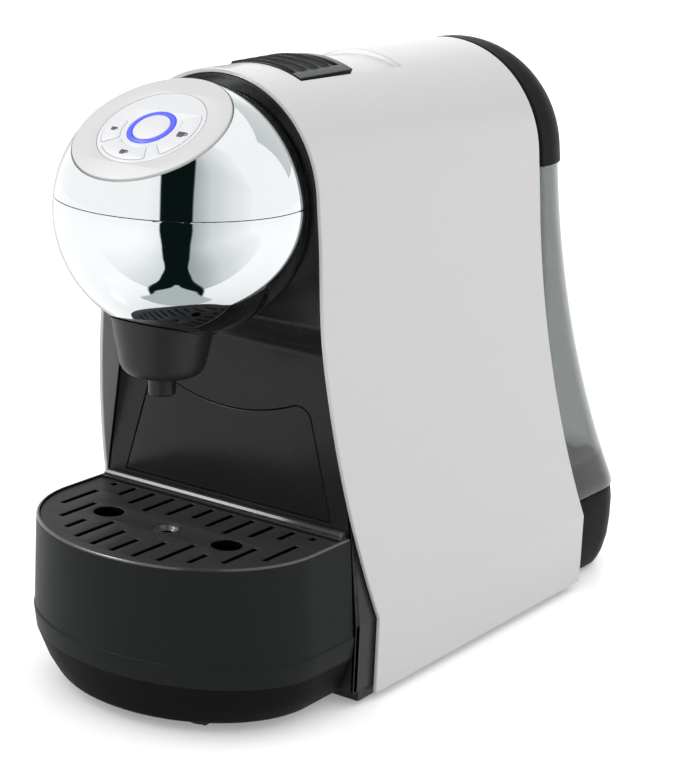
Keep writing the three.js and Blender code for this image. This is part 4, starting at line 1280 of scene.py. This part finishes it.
def make_front_flags():
    """The dark strip down the middle of the chrome, and the grey haze on both sides of it."""
    black = shade_material("flag black", (0.004, 0.010, 0.009))
    grey = shade_material("flag grey", (0.30, 0.36, 0.36))
    pale = shade_material("flag pale", (0.62, 0.68, 0.66))
    strip = [(0, 0), (0.05, 1), (0.95, 1), (1, 0)]
    make_flag("flag_front", black, CAMERA_AZIMUTH, 480, [
        (-70, -70, 66), (-60, -92, 86), (-48, -62, 60), (-40, -54, 56), (-24, -100, 98), (-6, -124, 118),
        (30, -128, 118), (88, -100, 100)], strip, 4)
    make_flag("wedge_front", pale, CAMERA_AZIMUTH, 470, [
        (-74, -100, 90), (-62, -66, 60), (-53, -8, 8)], strip, 6)
    make_flag("haze_right", grey, CAMERA_AZIMUTH, 560, [
        (-60, 0, 700), (-34, 0, 1100), (-10, 0, 1400), (40, 0, 1300), (70, 0, 500)],
        [(0, 0.95), (0.1, 0.75), (0.22, 0.42), (0.45, 0.2), (1, 0)], 2)
    make_flag("haze_left", grey, CAMERA_AZIMUTH, 560, [
        (-60, -500, 0), (-34, -400, 0), (0, -300, 0), (40, -240, 0)],
        [(0, 0), (0.5, 0.12), (1, 0.5)])
    make_flag("haze_behind", grey, math.radians(178), 1200, [(12, -500, 500), (44, -500, 500)],
              [(0, 0.5), (0.7, 0.4), (1, 0)])
    make_flag("flag_back", black, CAMERA_AZIMUTH + math.radians(198), 900, [
        (-42, -75, 75), (-30, -110, 110), (-14, -258, 258), (12, -258, 258), (30, -200, 200)],
        [(0, 0.75), (0.45, 0.65), (1, 0)])


def make_softbox():
    """The tall light on the left, which shows as a streak in the glossy pieces."""
    look = shade_material("softbox", (1, 1, 1), SOFTBOX_STRENGTH)
    make_flag("softbox_left", look, math.radians(-46), 1100, [(26, -420, 420), (48, -420, 420)],
              [(0, 0), (0.2, 1), (0.8, 1), (1, 0)])


# ---------- the whole scene ----------
DISC_LOOKS = {
    "control_ring": ("trim_grey", "root"), "keypad_frame": ("keypad_white", "root"),
    "light_ring": ("light_blue", "root"), "power_button": ("keypad_white", "power_button_body"),
}

MATERIALS = make_materials()

make_camera()
make_floor()
make_light()
make_front_flags()
make_softbox()

dress(make_shell(), "shell_white", "root", "outer_shell")
dress(make_panel(), "panel_gloss", "root", "front_panel", slot="black_satin")
dress(make_lining(), "panel_gloss", "root", slot="black_satin")
dress(make_track(), "shell_white", "root", "pod_track")
dress(make_cover(), "black_gloss", "pod_cover_body", "pod_cover")
dress(ball_patch("head_upper_skin", 1), "chrome", "root", "head_upper")
dress(make_lower_ball(), "chrome", "root", "head_lower")
dress(make_cup(), "black_satin", "root", "brew_cup")
dress(make_spout(), "black_satin", "root", "spout_nozzle")

tray = make_tray()
dress(tray, "tray_satin", "drip_tray_body", "drip_tray", slot="black_satin")
paint_faces(tray, ("tray_skirt_painted_shade", "gloss_painted_highlight"), tray_look)
dress(make_ridge(), "gloss_painted_highlight", "drip_tray_body", slot="black_satin")
grille = make_grille()
dress(grille, "grille_satin", "grille_body", "drip_grille", slot="black_satin")
paint_faces(grille, ("grille_walls_painted_shade", "funnel_painted_highlight"), grille_look)
dress(make_bin(), "panel_gloss", "pod_bin_body", "pod_bin", slot="black_satin")

dress(make_tank(), "tank_clear", "tank_body", "water_tank")
dress(make_lid(), "rear_satin", "lid_body", "tank_lid", slot="black_satin")
dress(make_rear_base(), "rear_satin", "root", "rear_base", slot="black_gloss")
for foot_name, foot_spot in FEET.items():
    dress(make_foot(foot_name, foot_spot), "rubber", "root", foot_name)

for node_name, disc_piece in make_disc_pieces().items():
    disc_look, disc_body = DISC_LOOKS.get(node_name, ("keypad_white", f"{node_name}_body"))
    dress(disc_piece, disc_look, disc_body, node_name)
for key_name, (icon_radius, icon_degrees, icon_size) in ICONS.items():
    icon = cup_icon(f"{key_name}_icon", icon_radius, icon_degrees, icon_size)
    dress(icon, "icon_ink", f"{key_name}_body", slot="black_satin")

dress_carried()
